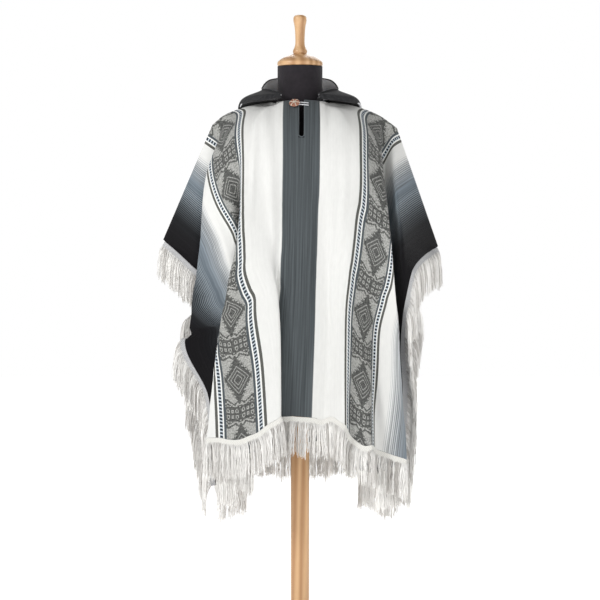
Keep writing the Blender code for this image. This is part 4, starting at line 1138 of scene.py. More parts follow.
class SharedEffects:
    """The node groups that several finishes use, each built once."""

    def __init__(self) -> None:
        """Builds every group."""
        self.nap = self._nap()
        self.weave = self._weave()
        self.grain = self._grain()

    def brushed(self, graph: Graph, flat: Socket, scale: float, colour: Socket,
                share: float) -> tuple[Socket, Socket]:
        """Shades a colour between brushed fibres.

        Args:
            graph: The graph of the material.
            flat: The flat place on the cloth.
            scale: Fibres for each metre.
            colour: The colour of the cloth.
            share: How much of the shade is laid on.

        Returns:
            The shaded colour and the height of the fibres.
        """
        nap = graph.group(self.nap, Vector=flat, Scale=scale)
        tone = graph.ramp(nap.outputs["Tone"], ((0.25, grey(0.80)), (0.75, grey(1.0))))
        return graph.mix(share, colour, tone, blend="MULTIPLY"), nap.outputs["Height"]

    def _nap(self) -> NodeTree:
        """Brushed fibres: a tone and a height that run along one way of the cloth."""
        inputs = (("Vector", "Vector"), ("Scale", "Float"))
        tree, graph, has = shared_group("brushed_nap", inputs, (("Tone", "Float"), ("Height", "Float")))
        fine = graph.add("ShaderNodeVectorMath", operation="SCALE")
        graph.feed(fine.inputs[0], graph.times(has["Vector"], (1.0, 0.34, 1.0)))
        graph.feed(fine.inputs["Scale"], has["Scale"])
        hairs = graph.noise(fine.outputs[0], 1.0, detail=4.0)
        patches = graph.noise(fine.outputs[0], 0.09, detail=2.0)
        tone = graph.math("MULTIPLY_ADD", hairs, 0.6, graph.math("MULTIPLY", patches, 0.4))
        graph.feed(has["out"].inputs["Tone"], tone)
        graph.feed(has["out"].inputs["Height"], hairs)
        return tree

    def _weave(self) -> NodeTree:
        """Threads that pass over and under each other."""
        inputs = (("Vector", "Vector"), ("Pitch", "Float"))
        tree, graph, has = shared_group("thread_weave", inputs, (("Height", "Float"),))
        across, down, _ = graph.split(has["Vector"])
        turn_across = graph.math("MULTIPLY", graph.math("DIVIDE", across, has["Pitch"]), math.pi)
        turn_down = graph.math("MULTIPLY", graph.math("DIVIDE", down, has["Pitch"]), math.pi)
        over = graph.math("MULTIPLY", graph.math("SINE", turn_across), graph.math("SINE", turn_down))
        graph.feed(has["out"].inputs["Height"], graph.lifted(over))
        return tree

    def _grain(self) -> NodeTree:
        """Wood grain that runs along the length of the stem, with fine pores."""
        inputs = (("Vector", "Vector"), ("Rings", "Float"))
        tree, graph, has = shared_group("wood_grain", inputs, (("Ring", "Float"), ("Pore", "Float")))
        drawn = graph.times(has["Vector"], (1.0, 1.0, 0.06))
        wander = graph.noise(drawn, 9.0, detail=3.0)
        across, deep, _ = graph.split(drawn)
        span = graph.math("ADD", graph.math("MULTIPLY", across, has["Rings"]),
                          graph.math("MULTIPLY", deep, graph.math("MULTIPLY", has["Rings"], 0.4)))
        ring = graph.math("SINE", graph.math("MULTIPLY_ADD", wander, 22.0, span))
        graph.feed(has["out"].inputs["Ring"], graph.lifted(ring))
        long_pores = graph.times(has["Vector"], (1.0, 1.0, 0.03))
        graph.feed(has["out"].inputs["Pore"], graph.noise(long_pores, 1400.0, detail=2.0))
        return tree


def new_material(name: str, roughness: float, sheen: float = 0.0, specular: float = 0.5
                 ) -> tuple[Material, Graph, bpy.types.Node]:
    """A material with its graph and its Principled shader, plain values set."""
    material = bpy.data.materials.new(name)
    material.use_nodes = True
    shader = material.node_tree.nodes["Principled BSDF"]
    plain = {"Roughness": roughness, "Sheen Weight": sheen, "Sheen Roughness": 0.5,
             "Specular IOR Level": specular}
    for label, value in plain.items():
        shader.inputs[label].default_value = value
    return material, Graph(material.node_tree), shader


def add_bump(graph: Graph, shader: bpy.types.Node, height: Socket, strength: float, distance: float) -> None:
    """Feeds a height into the shader's normal."""
    bump = graph.add("ShaderNodeBump")
    bump.inputs["Strength"].default_value = strength
    bump.inputs["Distance"].default_value = distance
    graph.feed(bump.inputs["Height"], height)
    graph.feed(shader.inputs["Normal"], bump.outputs[0])


# ---- finishes
# A quarter of the woven pattern's repeat. Columns run from the middle of the
# band outwards and rows from the middle of the large diamond to the middle of
# the small fret. Each # is a dark stitch. It is turned over both ways.
CHART = """
####.###.###.####.
###.###.###.#####.
##.###.###.####.#.
#.###.###.####....
.###.###.######...
###.###.#####.....
##.###.####.#.....
#.###.####........
.###.#######......
###.#####.........
##.####.#.........
#.####............
.########.........
#######...........
#####.#...........
####..............
######............
####..............
###...........####
##..........######
####......####..##
##.###..####....##
#...#####....###..
.....##....######.
###......##..#..##
.################.
##################
###..#########..##
##.##.##...##.##.#
##.##.##.#.##.##.#
##....##...##....#
##################
""".split()
CHANNEL_STITCHES = 6  # stitches of a chart row that one colour channel holds


@dataclass(frozen=True)
class WovenStripes:
    """Finish of the poncho's cloth: stripes, a charted band and a brushed nap."""

    effects: SharedEffects
    name: str = "striped_weave"
    band_middle: float = 0.2215
    band_half_width: float = 0.0365
    border_end: float = 0.0645
    repeat: float = 0.171
    first_diamond: float = 0.745
    fray: float = 0.0011
    dash_pitch: float = 0.0088
    dash_share: float = 0.64
    dash_row: tuple[float, float] = (0.0458, 0.0532)
    line_pitch: float = 0.0049
    inner_lines: Profile = (
        (0.318, 0.0), (0.330, 0.40), (0.352, 0.72), (0.368, 0.50), (0.380, 0.0))
    outer_lines: Profile = (
        (0.402, 0.0), (0.418, 0.55), (0.440, 0.46), (0.468, 0.16), (0.500, 0.0))
    thread_pitch: float = 0.0011
    ground: Colour = (186, 186, 182)
    navy: Colour = (54, 60, 68)
    blot_pitch: float = 0.0042
    stripes: Sequence[tuple[float, Colour]] = (
        (0.000, (92, 98, 101)), (0.0495, (92, 98, 101)), (0.0505, (232, 232, 229)),
        (0.322, (232, 232, 229)), (0.346, (222, 225, 226)), (0.366, (176, 183, 188)),
        (0.388, (138, 149, 158)), (0.412, (108, 119, 128)), (0.436, (72, 80, 87)),
        (0.458, (48, 53, 58)), (0.490, (34, 36, 39)), (0.530, (24, 23, 26)), (0.575, (17, 15, 18)))
    borders: Sequence[tuple[float, Colour]] = (
        (0.0365, (82, 88, 92)), (0.0422, (240, 240, 236)), (0.0452, (200, 209, 216)),
        (0.0538, (240, 240, 236)), (0.0572, (92, 92, 88)))

    def material(self) -> Material:
        """Builds the cloth's material."""
        material, graph, shader = new_material(self.name, roughness=0.92, sheen=0.06, specular=0.12)
        flat = graph.uv()
        frayed = self._frayed(graph, flat)
        across, down, _ = graph.split(frayed)
        aside = graph.math("ABSOLUTE", across)
        off_band = graph.math("ABSOLUTE", graph.math("SUBTRACT", aside, self.band_middle))
        colour = graph.mix(self._streaks(graph, flat), self._stripes(graph, aside), grey(0.0))
        colour = self._thin_lines(graph, aside, colour)
        band = self._band(graph, off_band, down)
        colour = graph.mix(graph.math("LESS_THAN", off_band, self.border_end), colour, band)
        colour, fibres = self.effects.brushed(graph, flat, scale=1500.0, colour=colour, share=0.55)
        graph.feed(shader.inputs["Base Color"], colour)
        weave = graph.group(self.effects.weave, Vector=flat, Pitch=self.thread_pitch)
        height = graph.math("MULTIPLY_ADD", fibres, 0.8, weave.outputs["Height"])
        add_bump(graph, shader, height, strength=0.45, distance=0.0007)
        return material

    def _frayed(self, graph: Graph, flat: Socket) -> Socket:
        """The flat place, shaken a little, so that stripes have brushed edges."""
        shake = graph.times(graph.noise(flat, 620.0, colour=True), (self.fray, self.fray * 1.6, 0.0))
        centred = graph.plus(shake, (-self.fray / 2, -self.fray * 0.8, 0.0))
        return graph.plus(flat, centred)

    def _stripes(self, graph: Graph, aside: Socket) -> Socket:
        """The plain stripes: slate in the middle, white, then a fade to near black."""
        share = graph.math("DIVIDE", aside, HALF_WIDTH)
        stops = [(at / HALF_WIDTH, linear(*tone)) for at, tone in self.stripes]
        return graph.ramp(share, stops)

    def _streaks(self, graph: Graph, flat: Socket) -> Socket:
        """How much darker each thread is than its stripe, in long soft streaks."""
        drawn = graph.noise(graph.times(flat, (240.0, 3.0, 1.0)), 1.0, detail=3.0)
        across, _, _ = graph.split(flat)
        aside = graph.math("ABSOLUTE", across)
        white = graph.between(aside, 0.0505, 0.336)
        most = graph.spread(white, 1.25, 0.09)
        return graph.math("MULTIPLY", graph.math("SUBTRACT", drawn, 0.30), most)

    def _thin_lines(self, graph: Graph, aside: Socket, colour: Socket) -> Socket:
        """Two groups of thin lines beside the blue-grey stripe."""
        line = graph.math("GREATER_THAN", graph.wave(aside, self.line_pitch), 0.15)
        share = graph.math("DIVIDE", aside, HALF_WIDTH)
        groups = ((self.inner_lines, linear(74, 80, 87)), (self.outer_lines, linear(176, 185, 191)))
        for stops, tone in groups:
            ramp = graph.ramp(share, [(at / HALF_WIDTH, grey(much)) for at, much in stops])
            much, _, _ = graph.split(ramp)
            colour = graph.mix(graph.math("MULTIPLY", line, much), colour, tone)
        return colour

    def _band(self, graph: Graph, off: Socket, down: Socket) -> Socket:
        """The charted band with its two borders."""
        stops = [(at / self.border_end, linear(*tone)) for at, tone in ((0.0, self.ground), *self.borders)]
        share = graph.math("DIVIDE", off, self.border_end)
        colour = graph.ramp(share, stops, "CONSTANT")
        blotch = graph.noise(graph.uv(), 1.0 / self.blot_pitch, detail=5.0)
        blotch = graph.ramp(blotch, ((0.36, grey(0.0)), (0.66, grey(1.0))))
        blotch, _, _ = graph.split(blotch)
        dark = graph.mix(blotch, linear(48, 49, 49), linear(104, 105, 102))
        pale = graph.mix(graph.math("MULTIPLY", blotch, 0.80), colour, linear(116, 117, 114))
        colour = graph.mix(graph.math("LESS_THAN", off, self.band_half_width), colour, pale)
        stitched = graph.mix(graph.math("MULTIPLY", self._stitch(graph, off, down), 0.93), colour, dark)
        phase = graph.math("FRACT", graph.math("DIVIDE", down, self.dash_pitch))
        in_dash = graph.math("LESS_THAN", phase, self.dash_share)
        dash = graph.math("MULTIPLY", in_dash, graph.between(off, *self.dash_row))
        return graph.mix(dash, stitched, linear(*self.navy))

    def _stitch(self, graph: Graph, off: Socket, down: Socket) -> Socket:
        """1 on a dark stitch of the chart.

        Each row of the chart is one stop of a ramp, whose three channels hold
        six stitches each as a number of six bits.
        """
        width, levels = len(CHART[0]), 2**CHANNEL_STITCHES
        column = graph.math("FLOOR", graph.math("MULTIPLY", off, width / self.band_half_width))
        turned = graph.math("DIVIDE", graph.math("SUBTRACT", down, self.first_diamond), self.repeat)
        part = graph.math("SUBTRACT", graph.math("FRACT", graph.math("ADD", turned, 20.5)), 0.5)
        row = graph.math("FLOOR", graph.math("MULTIPLY", graph.math("ABSOLUTE", part), 2.0 * len(CHART)))
        look_up = graph.math("DIVIDE", graph.math("ADD", row, 0.5), len(CHART))
        stops = []
        for n, text in enumerate(CHART):
            sixes = [text[k:k + CHANNEL_STITCHES] for k in range(0, width, CHANNEL_STITCHES)]
            packed = [sum(2**k for k, mark in enumerate(six) if mark == "#") / levels for six in sixes]
            stops.append((n / len(CHART), (*packed, 1.0)))
        channels = graph.add("ShaderNodeSeparateColor")
        graph.feed(channels.inputs[0], graph.ramp(look_up, stops, "CONSTANT"))
        bit = graph.math("MODULO", column, CHANNEL_STITCHES)
        third = graph.math("FLOOR", graph.math("DIVIDE", graph.math("ADD", column, 0.01), CHANNEL_STITCHES))
        total = None
        for n, channel in enumerate(channels.outputs[:3]):
            here = graph.math("MULTIPLY", channel, graph.math("COMPARE", third, float(n), 0.5))
            total = here if total is None else graph.math("ADD", total, here)
        whole = graph.math("MULTIPLY", total, float(levels))
        shifted = graph.math("DIVIDE", whole, graph.math("POWER", 2.0, bit))
        whole = graph.math("FLOOR", graph.math("ADD", shifted, 0.001))
        dark = graph.math("GREATER_THAN", graph.math("MODULO", whole, 2.0), 0.5)
        return graph.math("MULTIPLY", dark, graph.math("LESS_THAN", off, self.band_half_width))


@dataclass(frozen=True)
class FringeTape:
    """Finish of the woven tape that holds the fringe: a herringbone whose two tones are painted shade,
    darker in the grooves between its raised ribs.
    """

    effects: SharedEffects
    name: str
    light: Colour
    dark: Colour
    pitch: float = 0.0042

    def material(self) -> Material:
        """Builds the tape's material."""
        material, graph, shader = new_material(self.name, roughness=0.9, sheen=0.2, specular=0.2)
        flat = graph.uv()
        along, up, _ = graph.split(flat)
        fold = graph.math("PINGPONG", up, self.pitch * 0.8)
        rib = graph.lifted(graph.wave(graph.math("ADD", along, fold), self.pitch))
        # painted shade: the tape is darker in the grooves between its raised herringbone ribs
        colour = graph.mix(rib, linear(*self.dark), linear(*self.light))
        colour, fibres = self.effects.brushed(graph, flat, scale=1700.0, colour=colour, share=0.6)
        graph.feed(shader.inputs["Base Color"], colour)
        height = graph.math("MULTIPLY_ADD", fibres, 0.4, rib)
        add_bump(graph, shader, height, strength=0.6, distance=0.0008)
        return material


@dataclass(frozen=True)
class FringeYarn:
    """Finish of the fringe's yarn: each strand its own tone, with a spun twist."""

    effects: SharedEffects
    name: str = "fringe_yarn"
    light: Colour = (255, 254, 251)
    shade: Colour = (190, 186, 181)
    twists: float = 2600.0
    shaded_root: float = 0.02

    def material(self) -> Material:
        """Builds the yarn's material."""
        material, graph, shader = new_material(self.name, roughness=0.9, sheen=0.25, specular=0.2)
        tone = graph.add("ShaderNodeAttribute", attribute_name="tone").outputs["Fac"]
        around, along, _ = graph.split(graph.uv())
        turn = graph.math("MULTIPLY", around, 2 * math.pi)
        spun = graph.math("SINE", graph.math("MULTIPLY_ADD", along, self.twists, turn))
        from_root = graph.math("DIVIDE", along, self.shaded_root)
        root = graph.ramp(from_root, ((0.0, grey(0.72)), (1.0, grey(1.0))))
        colour = graph.mix(tone, linear(*self.shade), linear(*self.light))
        colour = graph.mix(0.8, colour, root, blend="MULTIPLY")
        graph.feed(shader.inputs["Base Color"], colour)
        add_bump(graph, shader, graph.lifted(spun), strength=0.5, distance=0.0004)
        return material


@dataclass(frozen=True)
class FeltCloth:
    """Finish of the hood's outer cloth: near-black wool with a short nap."""

    effects: SharedEffects
    name: str = "hood_felt"
    dark: Colour = (24, 24, 25)
    light: Colour = (62, 62, 64)

    def material(self) -> Material:
        """Builds the felt's material."""
        material, graph, shader = new_material(self.name, roughness=1.0, sheen=0.10, specular=0.05)
        flat = graph.uv()
        nap = graph.group(self.effects.nap, Vector=flat, Scale=1300.0)
        lint = graph.math("GREATER_THAN", graph.noise(flat, 900.0), 0.70)
        brushed = graph.noise(graph.times(flat, (150.0, 260.0, 1.0)), 1.0, detail=5.0)
        # the tone is partly painted shade, darker between the raised nap fibres, and partly a random brushed
        # mottle
        tone = graph.math("MULTIPLY_ADD", nap.outputs["Tone"], 0.5, graph.math("MULTIPLY", brushed, 0.5))
        tones = ((0.34, linear(*self.dark)), (0.66, linear(*self.light)))
        colour = graph.ramp(tone, tones)
        colour = graph.mix(graph.math("MULTIPLY", lint, 0.16), colour, linear(120, 120, 122))
        graph.feed(shader.inputs["Base Color"], colour)
        add_bump(graph, shader, nap.outputs["Height"], strength=0.5, distance=0.0008)
        return material


@dataclass(frozen=True)
class RibbedLining:
    """Finish of the hood's lining: a pale knitted rib."""

    name: str = "ribbed_lining"
    light: Colour = (250, 250, 252)
    dark: Colour = (196, 197, 201)
    pitch: float = 0.0032

    def material(self) -> Material:
        """Builds the lining's material."""
        material, graph, shader = new_material(self.name, roughness=0.9, sheen=0.2, specular=0.2)
        along, _, _ = graph.split(graph.uv())
        rib = graph.lifted(graph.wave(along, self.pitch))
        speckle = graph.noise(graph.uv(), 1200.0)
        # painted shade: the lining is darker in the valleys between its raised ribs
        colour = graph.mix(rib, linear(*self.dark), linear(*self.light))
        colour = graph.mix(graph.math("MULTIPLY", speckle, 0.25), colour, linear(*self.dark))
        graph.feed(shader.inputs["Base Color"], colour)
        add_bump(graph, shader, rib, strength=0.7, distance=0.001)
        return material


@dataclass(frozen=True)
class JerseyCover:
    """Finish of the dress form: a near-black knitted cover."""

    name: str = "form_jersey"
    dark: Colour = (22, 19, 23)
    light: Colour = (44, 39, 44)
    ribs_around: float = 300.0
    rows_up: float = 4200.0

    def material(self) -> Material:
        """Builds the jersey's material."""
        material, graph, shader = new_material(self.name, roughness=0.85, sheen=0.12, specular=0.25)
        place = graph.object_place()
        x, y, z = graph.split(place)
        turn = graph.math("ARCTAN2", y, x)
        ribs = graph.math("SINE", graph.math("MULTIPLY", turn, self.ribs_around))
        rows = graph.math("SINE", graph.math("MULTIPLY", z, self.rows_up))
        knit = graph.lifted(graph.math("MULTIPLY", ribs, rows))
        tone = graph.noise(place, 70.0, detail=4.0)
        graph.feed(shader.inputs["Base Color"], graph.mix(tone, linear(*self.dark), linear(*self.light)))
        add_bump(graph, shader, knit, strength=0.3, distance=0.0005)
        return material


@dataclass(frozen=True)
class TurnedWood:
    """Finish of the stand: satin varnished light wood with soft grain."""

    effects: SharedEffects
    name: str = "turned_wood"
    light: Colour = (222, 182, 136)
    dark: Colour = (178, 132, 88)
    rings: float = 260.0

    def material(self) -> Material:
        """Builds the wood's material."""
        material, graph, shader = new_material(self.name, roughness=0.42)
        shader.inputs["Coat Weight"].default_value = 0.12
        shader.inputs["Coat Roughness"].default_value = 0.3
        place = graph.object_place()
        grain = graph.group(self.effects.grain, Vector=place, Rings=self.rings)
        colour = graph.mix(grain.outputs["Ring"], linear(*self.dark), linear(*self.light))
        wear = graph.noise(place, 26.0, detail=3.0)
        colour = graph.mix(graph.math("MULTIPLY", wear, 0.35), colour, linear(196, 150, 104))
        colour = graph.mix(graph.math("MULTIPLY", grain.outputs["Pore"], 0.22), colour, linear(120, 82, 50))
        graph.feed(shader.inputs["Base Color"], colour)
        graph.feed(shader.inputs["Roughness"], graph.spread(wear, 0.34, 0.52))
        add_bump(graph, shader, grain.outputs["Pore"], strength=0.15, distance=0.0003)
        return material


@dataclass(frozen=True)
class LacedButtonFace:
    """Finish of the button: semi-gloss copper brown with darker clouds."""

    name: str = "laced_button"
    dark: Colour = (112, 66, 50)
    light: Colour = (196, 138, 112)

    def material(self) -> Material:
        """Builds the button's material."""
        material, graph, shader = new_material(self.name, roughness=0.32)
        cloud = graph.noise(graph.object_place(), 160.0, detail=4.0)
        graph.feed(shader.inputs["Base Color"], graph.mix(cloud, linear(*self.dark), linear(*self.light)))
        graph.feed(shader.inputs["Roughness"], graph.spread(cloud, 0.22, 0.40))
        add_bump(graph, shader, cloud, strength=0.1, distance=0.0004)
        return material


@dataclass(frozen=True)
class TwistedCord:
    """Finish of a light twisted cord or an elastic, with painted shade in the grooves of its twist."""

    name: str
    light: Colour
    dark: Colour
    twists: float = 5200.0

    def material(self) -> Material:
        """Builds the cord's material."""
        material, graph, shader = new_material(self.name, roughness=0.6)
        x, y, z = graph.split(graph.object_place())
        slant = graph.math("ADD", graph.math("ADD", x, z), graph.math("MULTIPLY", y, 0.5))
        twist = graph.lifted(graph.math("SINE", graph.math("MULTIPLY", slant, self.twists)))
        # painted shade: the cord is darker in the grooves of its twist
        graph.feed(shader.inputs["Base Color"], graph.mix(twist, linear(*self.dark), linear(*self.light)))
        add_bump(graph, shader, twist, strength=0.5, distance=0.0003)
        return material


# ---- modelling by operators
def start_piece() -> None:
    """Clears the selection before a new primitive is added."""
    bpy.ops.object.select_all(action="DESELECT")


def finish_piece(piece: Piece, smooth_deg: float = 40.0) -> Piece:
    """Bakes a modelled piece's place into its mesh and turns its faces outwards."""
    bpy.ops.object.mode_set(mode="OBJECT")
    bpy.ops.object.select_all(action="DESELECT")
    piece.select_set(True)
    bpy.context.view_layer.objects.active = piece
    bpy.ops.object.transform_apply(location=True, rotation=True, scale=True)
    bpy.ops.object.mode_set(mode="EDIT")
    bpy.ops.mesh.select_all(action="SELECT")
    bpy.ops.mesh.remove_doubles(threshold=1e-6)
    bpy.ops.mesh.normals_make_consistent(inside=False)
    bpy.ops.object.mode_set(mode="OBJECT")
    bpy.ops.object.shade_smooth_by_angle(angle=math.radians(smooth_deg))
    piece.select_set(False)
    return piece


class Ring(NamedTuple):
    """A ring of a drawn-up piece: half width, half depth, height and forward offset."""

    half_width: float
    half_depth: float
    height: float
    forward: float = 0.0


def draw_up(name: str, rings: Sequence[Ring], segments: int = 96) -> Piece:
    """Draws a disc up through rings by extrude, resize and move, as on a lathe.

    Args:
        name: The piece's name.
        rings: Rings from the lowest to the highest.
        segments: Sides of each ring.

    Returns:
        The closed piece, still in object mode and not yet finished.
    """
    start_piece()
    first = rings[0]
    bpy.ops.mesh.primitive_circle_add(vertices=segments, radius=1.0, fill_type="NGON",
                                      location=(0.0, -first.forward, first.height))
    piece = bpy.context.object
    piece.name = piece.data.name = name
    bpy.ops.object.transform_apply(location=True, rotation=False, scale=False)
    bpy.ops.object.mode_set(mode="EDIT")
    bpy.ops.mesh.select_mode(type="FACE")
    bpy.ops.mesh.select_all(action="SELECT")
    bpy.ops.transform.resize(value=(first.half_width, first.half_depth, 1.0),
                             center_override=(0.0, -first.forward, first.height))
    for low, high in zip(rings, rings[1:]):
        step = (0.0, low.forward - high.forward, high.height - low.height)
        bpy.ops.mesh.extrude_region_move(TRANSFORM_OT_translate={"value": step})
        grown = (high.half_width / low.half_width, high.half_depth / low.half_depth, 1.0)
        bpy.ops.transform.resize(value=grown, center_override=(0.0, -high.forward, high.height))
    bpy.ops.object.mode_set(mode="OBJECT")
    return piece


def turned(name: str, profile: Profile, base: float = 0.0, segments: int = 96) -> Piece:
    """A turned piece from (radius, height) pairs, stood at a height."""
    return draw_up(name, [Ring(r, r, z + base) for r, z in profile], segments)


def tube_along(name: str, path: Array, radius: float, closed: bool = False, sides: int = 3) -> Piece:
    """A round cord along points, as a bevelled curve turned into a mesh."""
    curve = bpy.data.curves.new(name, "CURVE")
    curve.dimensions = "3D"
    curve.bevel_depth = radius
    curve.bevel_resolution = sides
    curve.use_fill_caps = not closed
    spline = curve.splines.new("POLY")
    spline.points.add(len(path) - 1)
    for point, place in zip(spline.points, path):
        point.co = (*place, 1.0)
    spline.use_cyclic_u = closed
    piece = bpy.data.objects.new(name, curve)
    bpy.context.scene.collection.objects.link(piece)
    start_piece()
    piece.select_set(True)
    bpy.context.view_layer.objects.active = piece
    bpy.ops.object.convert(target="MESH")
    return finish_piece(bpy.context.object, 70.0)


# ---- sub-assemblies
class HoodSection(NamedTuple):
    """A radial section of the hood at a turn from the front middle, in degrees."""

    turn: float
    seam_z: float
    low_out: float
    low_z: float
    fold_out: float
    fold_z: float
    top_out: float
    top_z: float
    rim_out: float
    rim_z: float


@dataclass
class Hood:
    """The hood laid down on the back, sewn to the neck and open upwards."""

    seam_radius: float = 0.079
    wall: float = 0.003
    rest: float = 0.013
    stations: int = 181
    profile_points: int = 61
    profile_steps: Sequence[float] = (0.0, 0.28, 0.52, 0.66, 0.92, 1.0)
    crumple: float = 0.0016
    soft_passes: int = 3
    piping_radius: float = 0.0019
    piping_past_rim: float = 0.2
    rim_drop: float = 0.004
    least_lip: float = 0.003
    lip: float = 0.018
    lip_lean: float = 0.02
    lip_turns: tuple[float, float] = (92.0, 136.0)
    sections: Sequence[HoodSection] = (
        HoodSection(34, 1.476, 0.083, 1.480, 0.090, 1.483, 0.088, 1.490, 0.083, 1.492),
        HoodSection(60, 1.477, 0.105, 1.477, 0.124, 1.474, 0.122, 1.484, 0.092, 1.503),
        HoodSection(90, 1.480, 0.120, 1.476, 0.150, 1.467, 0.150, 1.480, 0.098, 1.508),
        HoodSection(120, 1.480, 0.130, 1.452, 0.176, 1.415, 0.178, 1.445, 0.104, 1.514),
        HoodSection(150, 1.479, 0.138, 1.410, 0.192, 1.320, 0.196, 1.390, 0.112, 1.524),
        HoodSection(180, 1.478, 0.142, 1.395, 0.190, 1.262, 0.200, 1.370, 0.118, 1.530),
    )
    cut: tuple[float, float] = field(init=False)

    RAY_LENGTH = 1.2

    def _column(self, turn: float, along: Array) -> Array:
        """Middle points of the wall at one turn, before it rests on the cloth."""
        knots = [s.turn for s in self.sections]
        table = [tuple(s)[1:] for s in self.sections]
        seam_z, low_out, low_z, fold_out, fold_z, top_out, top_z, rim_out, rim_z = smooth_through(
            knots, table, abs(turn))
        low_turn, high_turn = self.lip_turns
        raised = float(np.clip((abs(turn) - low_turn) / (high_turn - low_turn), 0.0, 1.0))
        lip = self.least_lip + self.lip * eased(raised)
        out = (self.seam_radius, low_out, fold_out, top_out, rim_out, rim_out + self.lip_lean * lip)
        up = (seam_z, low_z, fold_z, top_z, rim_z - self.rim_drop, rim_z + lip - self.rim_drop)
        radius = smooth_through(self.profile_steps, out, along)
        height = smooth_through(self.profile_steps, up, along)
        angle = math.radians(turn)
        return np.stack([radius * math.sin(angle), -radius * math.cos(angle), height], axis=1)

    def _resting(self, trees: Trees, point: Array) -> Array:
        """The point moved out and up, along a diagonal, until it clears the panels."""
        reach = math.hypot(point[0], point[1]) * math.sqrt(2)
        diagonal = np.array((point[0] / reach, point[1] / reach, math.sqrt(0.5)))
        moved = point.copy()
        for tree in trees:
            hit = tree.ray_cast(moved + diagonal, -diagonal, self.RAY_LENGTH)[0]
            if hit is not None:
                standing = float(np.dot(moved - np.array(hit), diagonal))
                moved = moved + diagonal * max(0.0, self.rest - standing)
        return moved

    def _soft(self, grid: Array, along: Array, turns: Array) -> Array:
        """Lets the moves that rest it on the cloth run smoothly, with a few soft dents."""
        for _ in range(self.soft_passes):
            grid[:, 1:-1] = (grid[:, :-2] + 2 * grid[:, 1:-1] + grid[:, 2:]) / 4
        bend = np.radians(turns)[None, :]
        dent = np.sin(5 * bend + 4 * along[:, None]) * np.sin(3 * bend - 7 * along[:, None])
        fade = np.sin(np.pi * np.clip(along, 0, 1))[:, None] ** 2
        return grid + grid_normals(grid) * (dent * fade * self.crumple)[..., None]

    def build(self, trees: Trees, felt: Material,
              lining: Material) -> list[Piece]:
        """Makes the hood's wall and the seam at its rim."""
        first = self.sections[0].turn
        turns = np.linspace(first, 360 - first, self.stations)
        along = np.linspace(0.0, 1.0, self.profile_points)
        columns = [self._column(t if t <= 180 else t - 360, along) for t in turns]
        grid = np.stack(columns, axis=1)
        grid = np.array([[self._resting(trees, p) for p in row] for row in grid])
        grid = self._soft(grid, along, turns)
        flat = np.zeros(grid.shape[:2] + (2,))
        around = np.linalg.norm(np.diff(grid, axis=1), axis=2)
        flat[..., 0] = np.cumsum(np.append(0.0, around[-1]))[None, :]
        lengths = np.linalg.norm(np.diff(grid, axis=0), axis=2)
        flat[1:, :, 1] = np.cumsum(lengths, axis=0)
        wall = sheet_wall("hood_cloth", grid, grid_normals(grid), self.wall, flat)
        coat(wall, felt, lining)
        self.cut = (float(lengths.sum(axis=0).mean()), float(around.sum(axis=1).mean()))
        rim = grid[-1] + (grid[-1] - grid[-2]) * self.piping_past_rim
        piping = tube_along("hood_piping", rim, self.piping_radius)
        coat(piping, felt)
        return [wall, piping]


@dataclass
class NeckBinding:
    """A narrow folded facing that binds the front neck edge and the slit."""

    radius: float = 0.0014
    points: int = 26
    slit_points: int = 24
    turn_points: int = 11
    neck_end: float = 0.066
    below_neck: float = 0.002
    slit_down: float = 0.1805

    def build(self, front: ClothPanel, facing: Material) -> list[Piece]:
        """Makes the binding as one run: neck, slit, neck."""
        side = np.linspace(self.neck_end, SLIT_HALF_WIDTH, self.points)
        neck = [(-a, float(front.neck.edge(a))) for a in side]
        bottom = self.slit_down - SLIT_HALF_WIDTH
        top = neck[-1][1] + self.below_neck
        slit = [(-SLIT_HALF_WIDTH, d) for d in np.linspace(top, bottom, self.slit_points)]
        turn = [(-SLIT_HALF_WIDTH * math.cos(t), bottom + SLIT_HALF_WIDTH * math.sin(t))
                for t in np.linspace(0.0, math.pi, self.turn_points)[1:-1]]
        left = neck + slit + turn[: len(turn) // 2]
        run = left + [turn[len(turn) // 2]] + [(-a, d) for a, d in reversed(left)]
        flat = np.array(run)
        path = front.place(flat[:, 0], flat[:, 1])
        piece = tube_along("neck_binding", path, self.radius, sides=2)
        coat(piece, facing)
        return [piece]


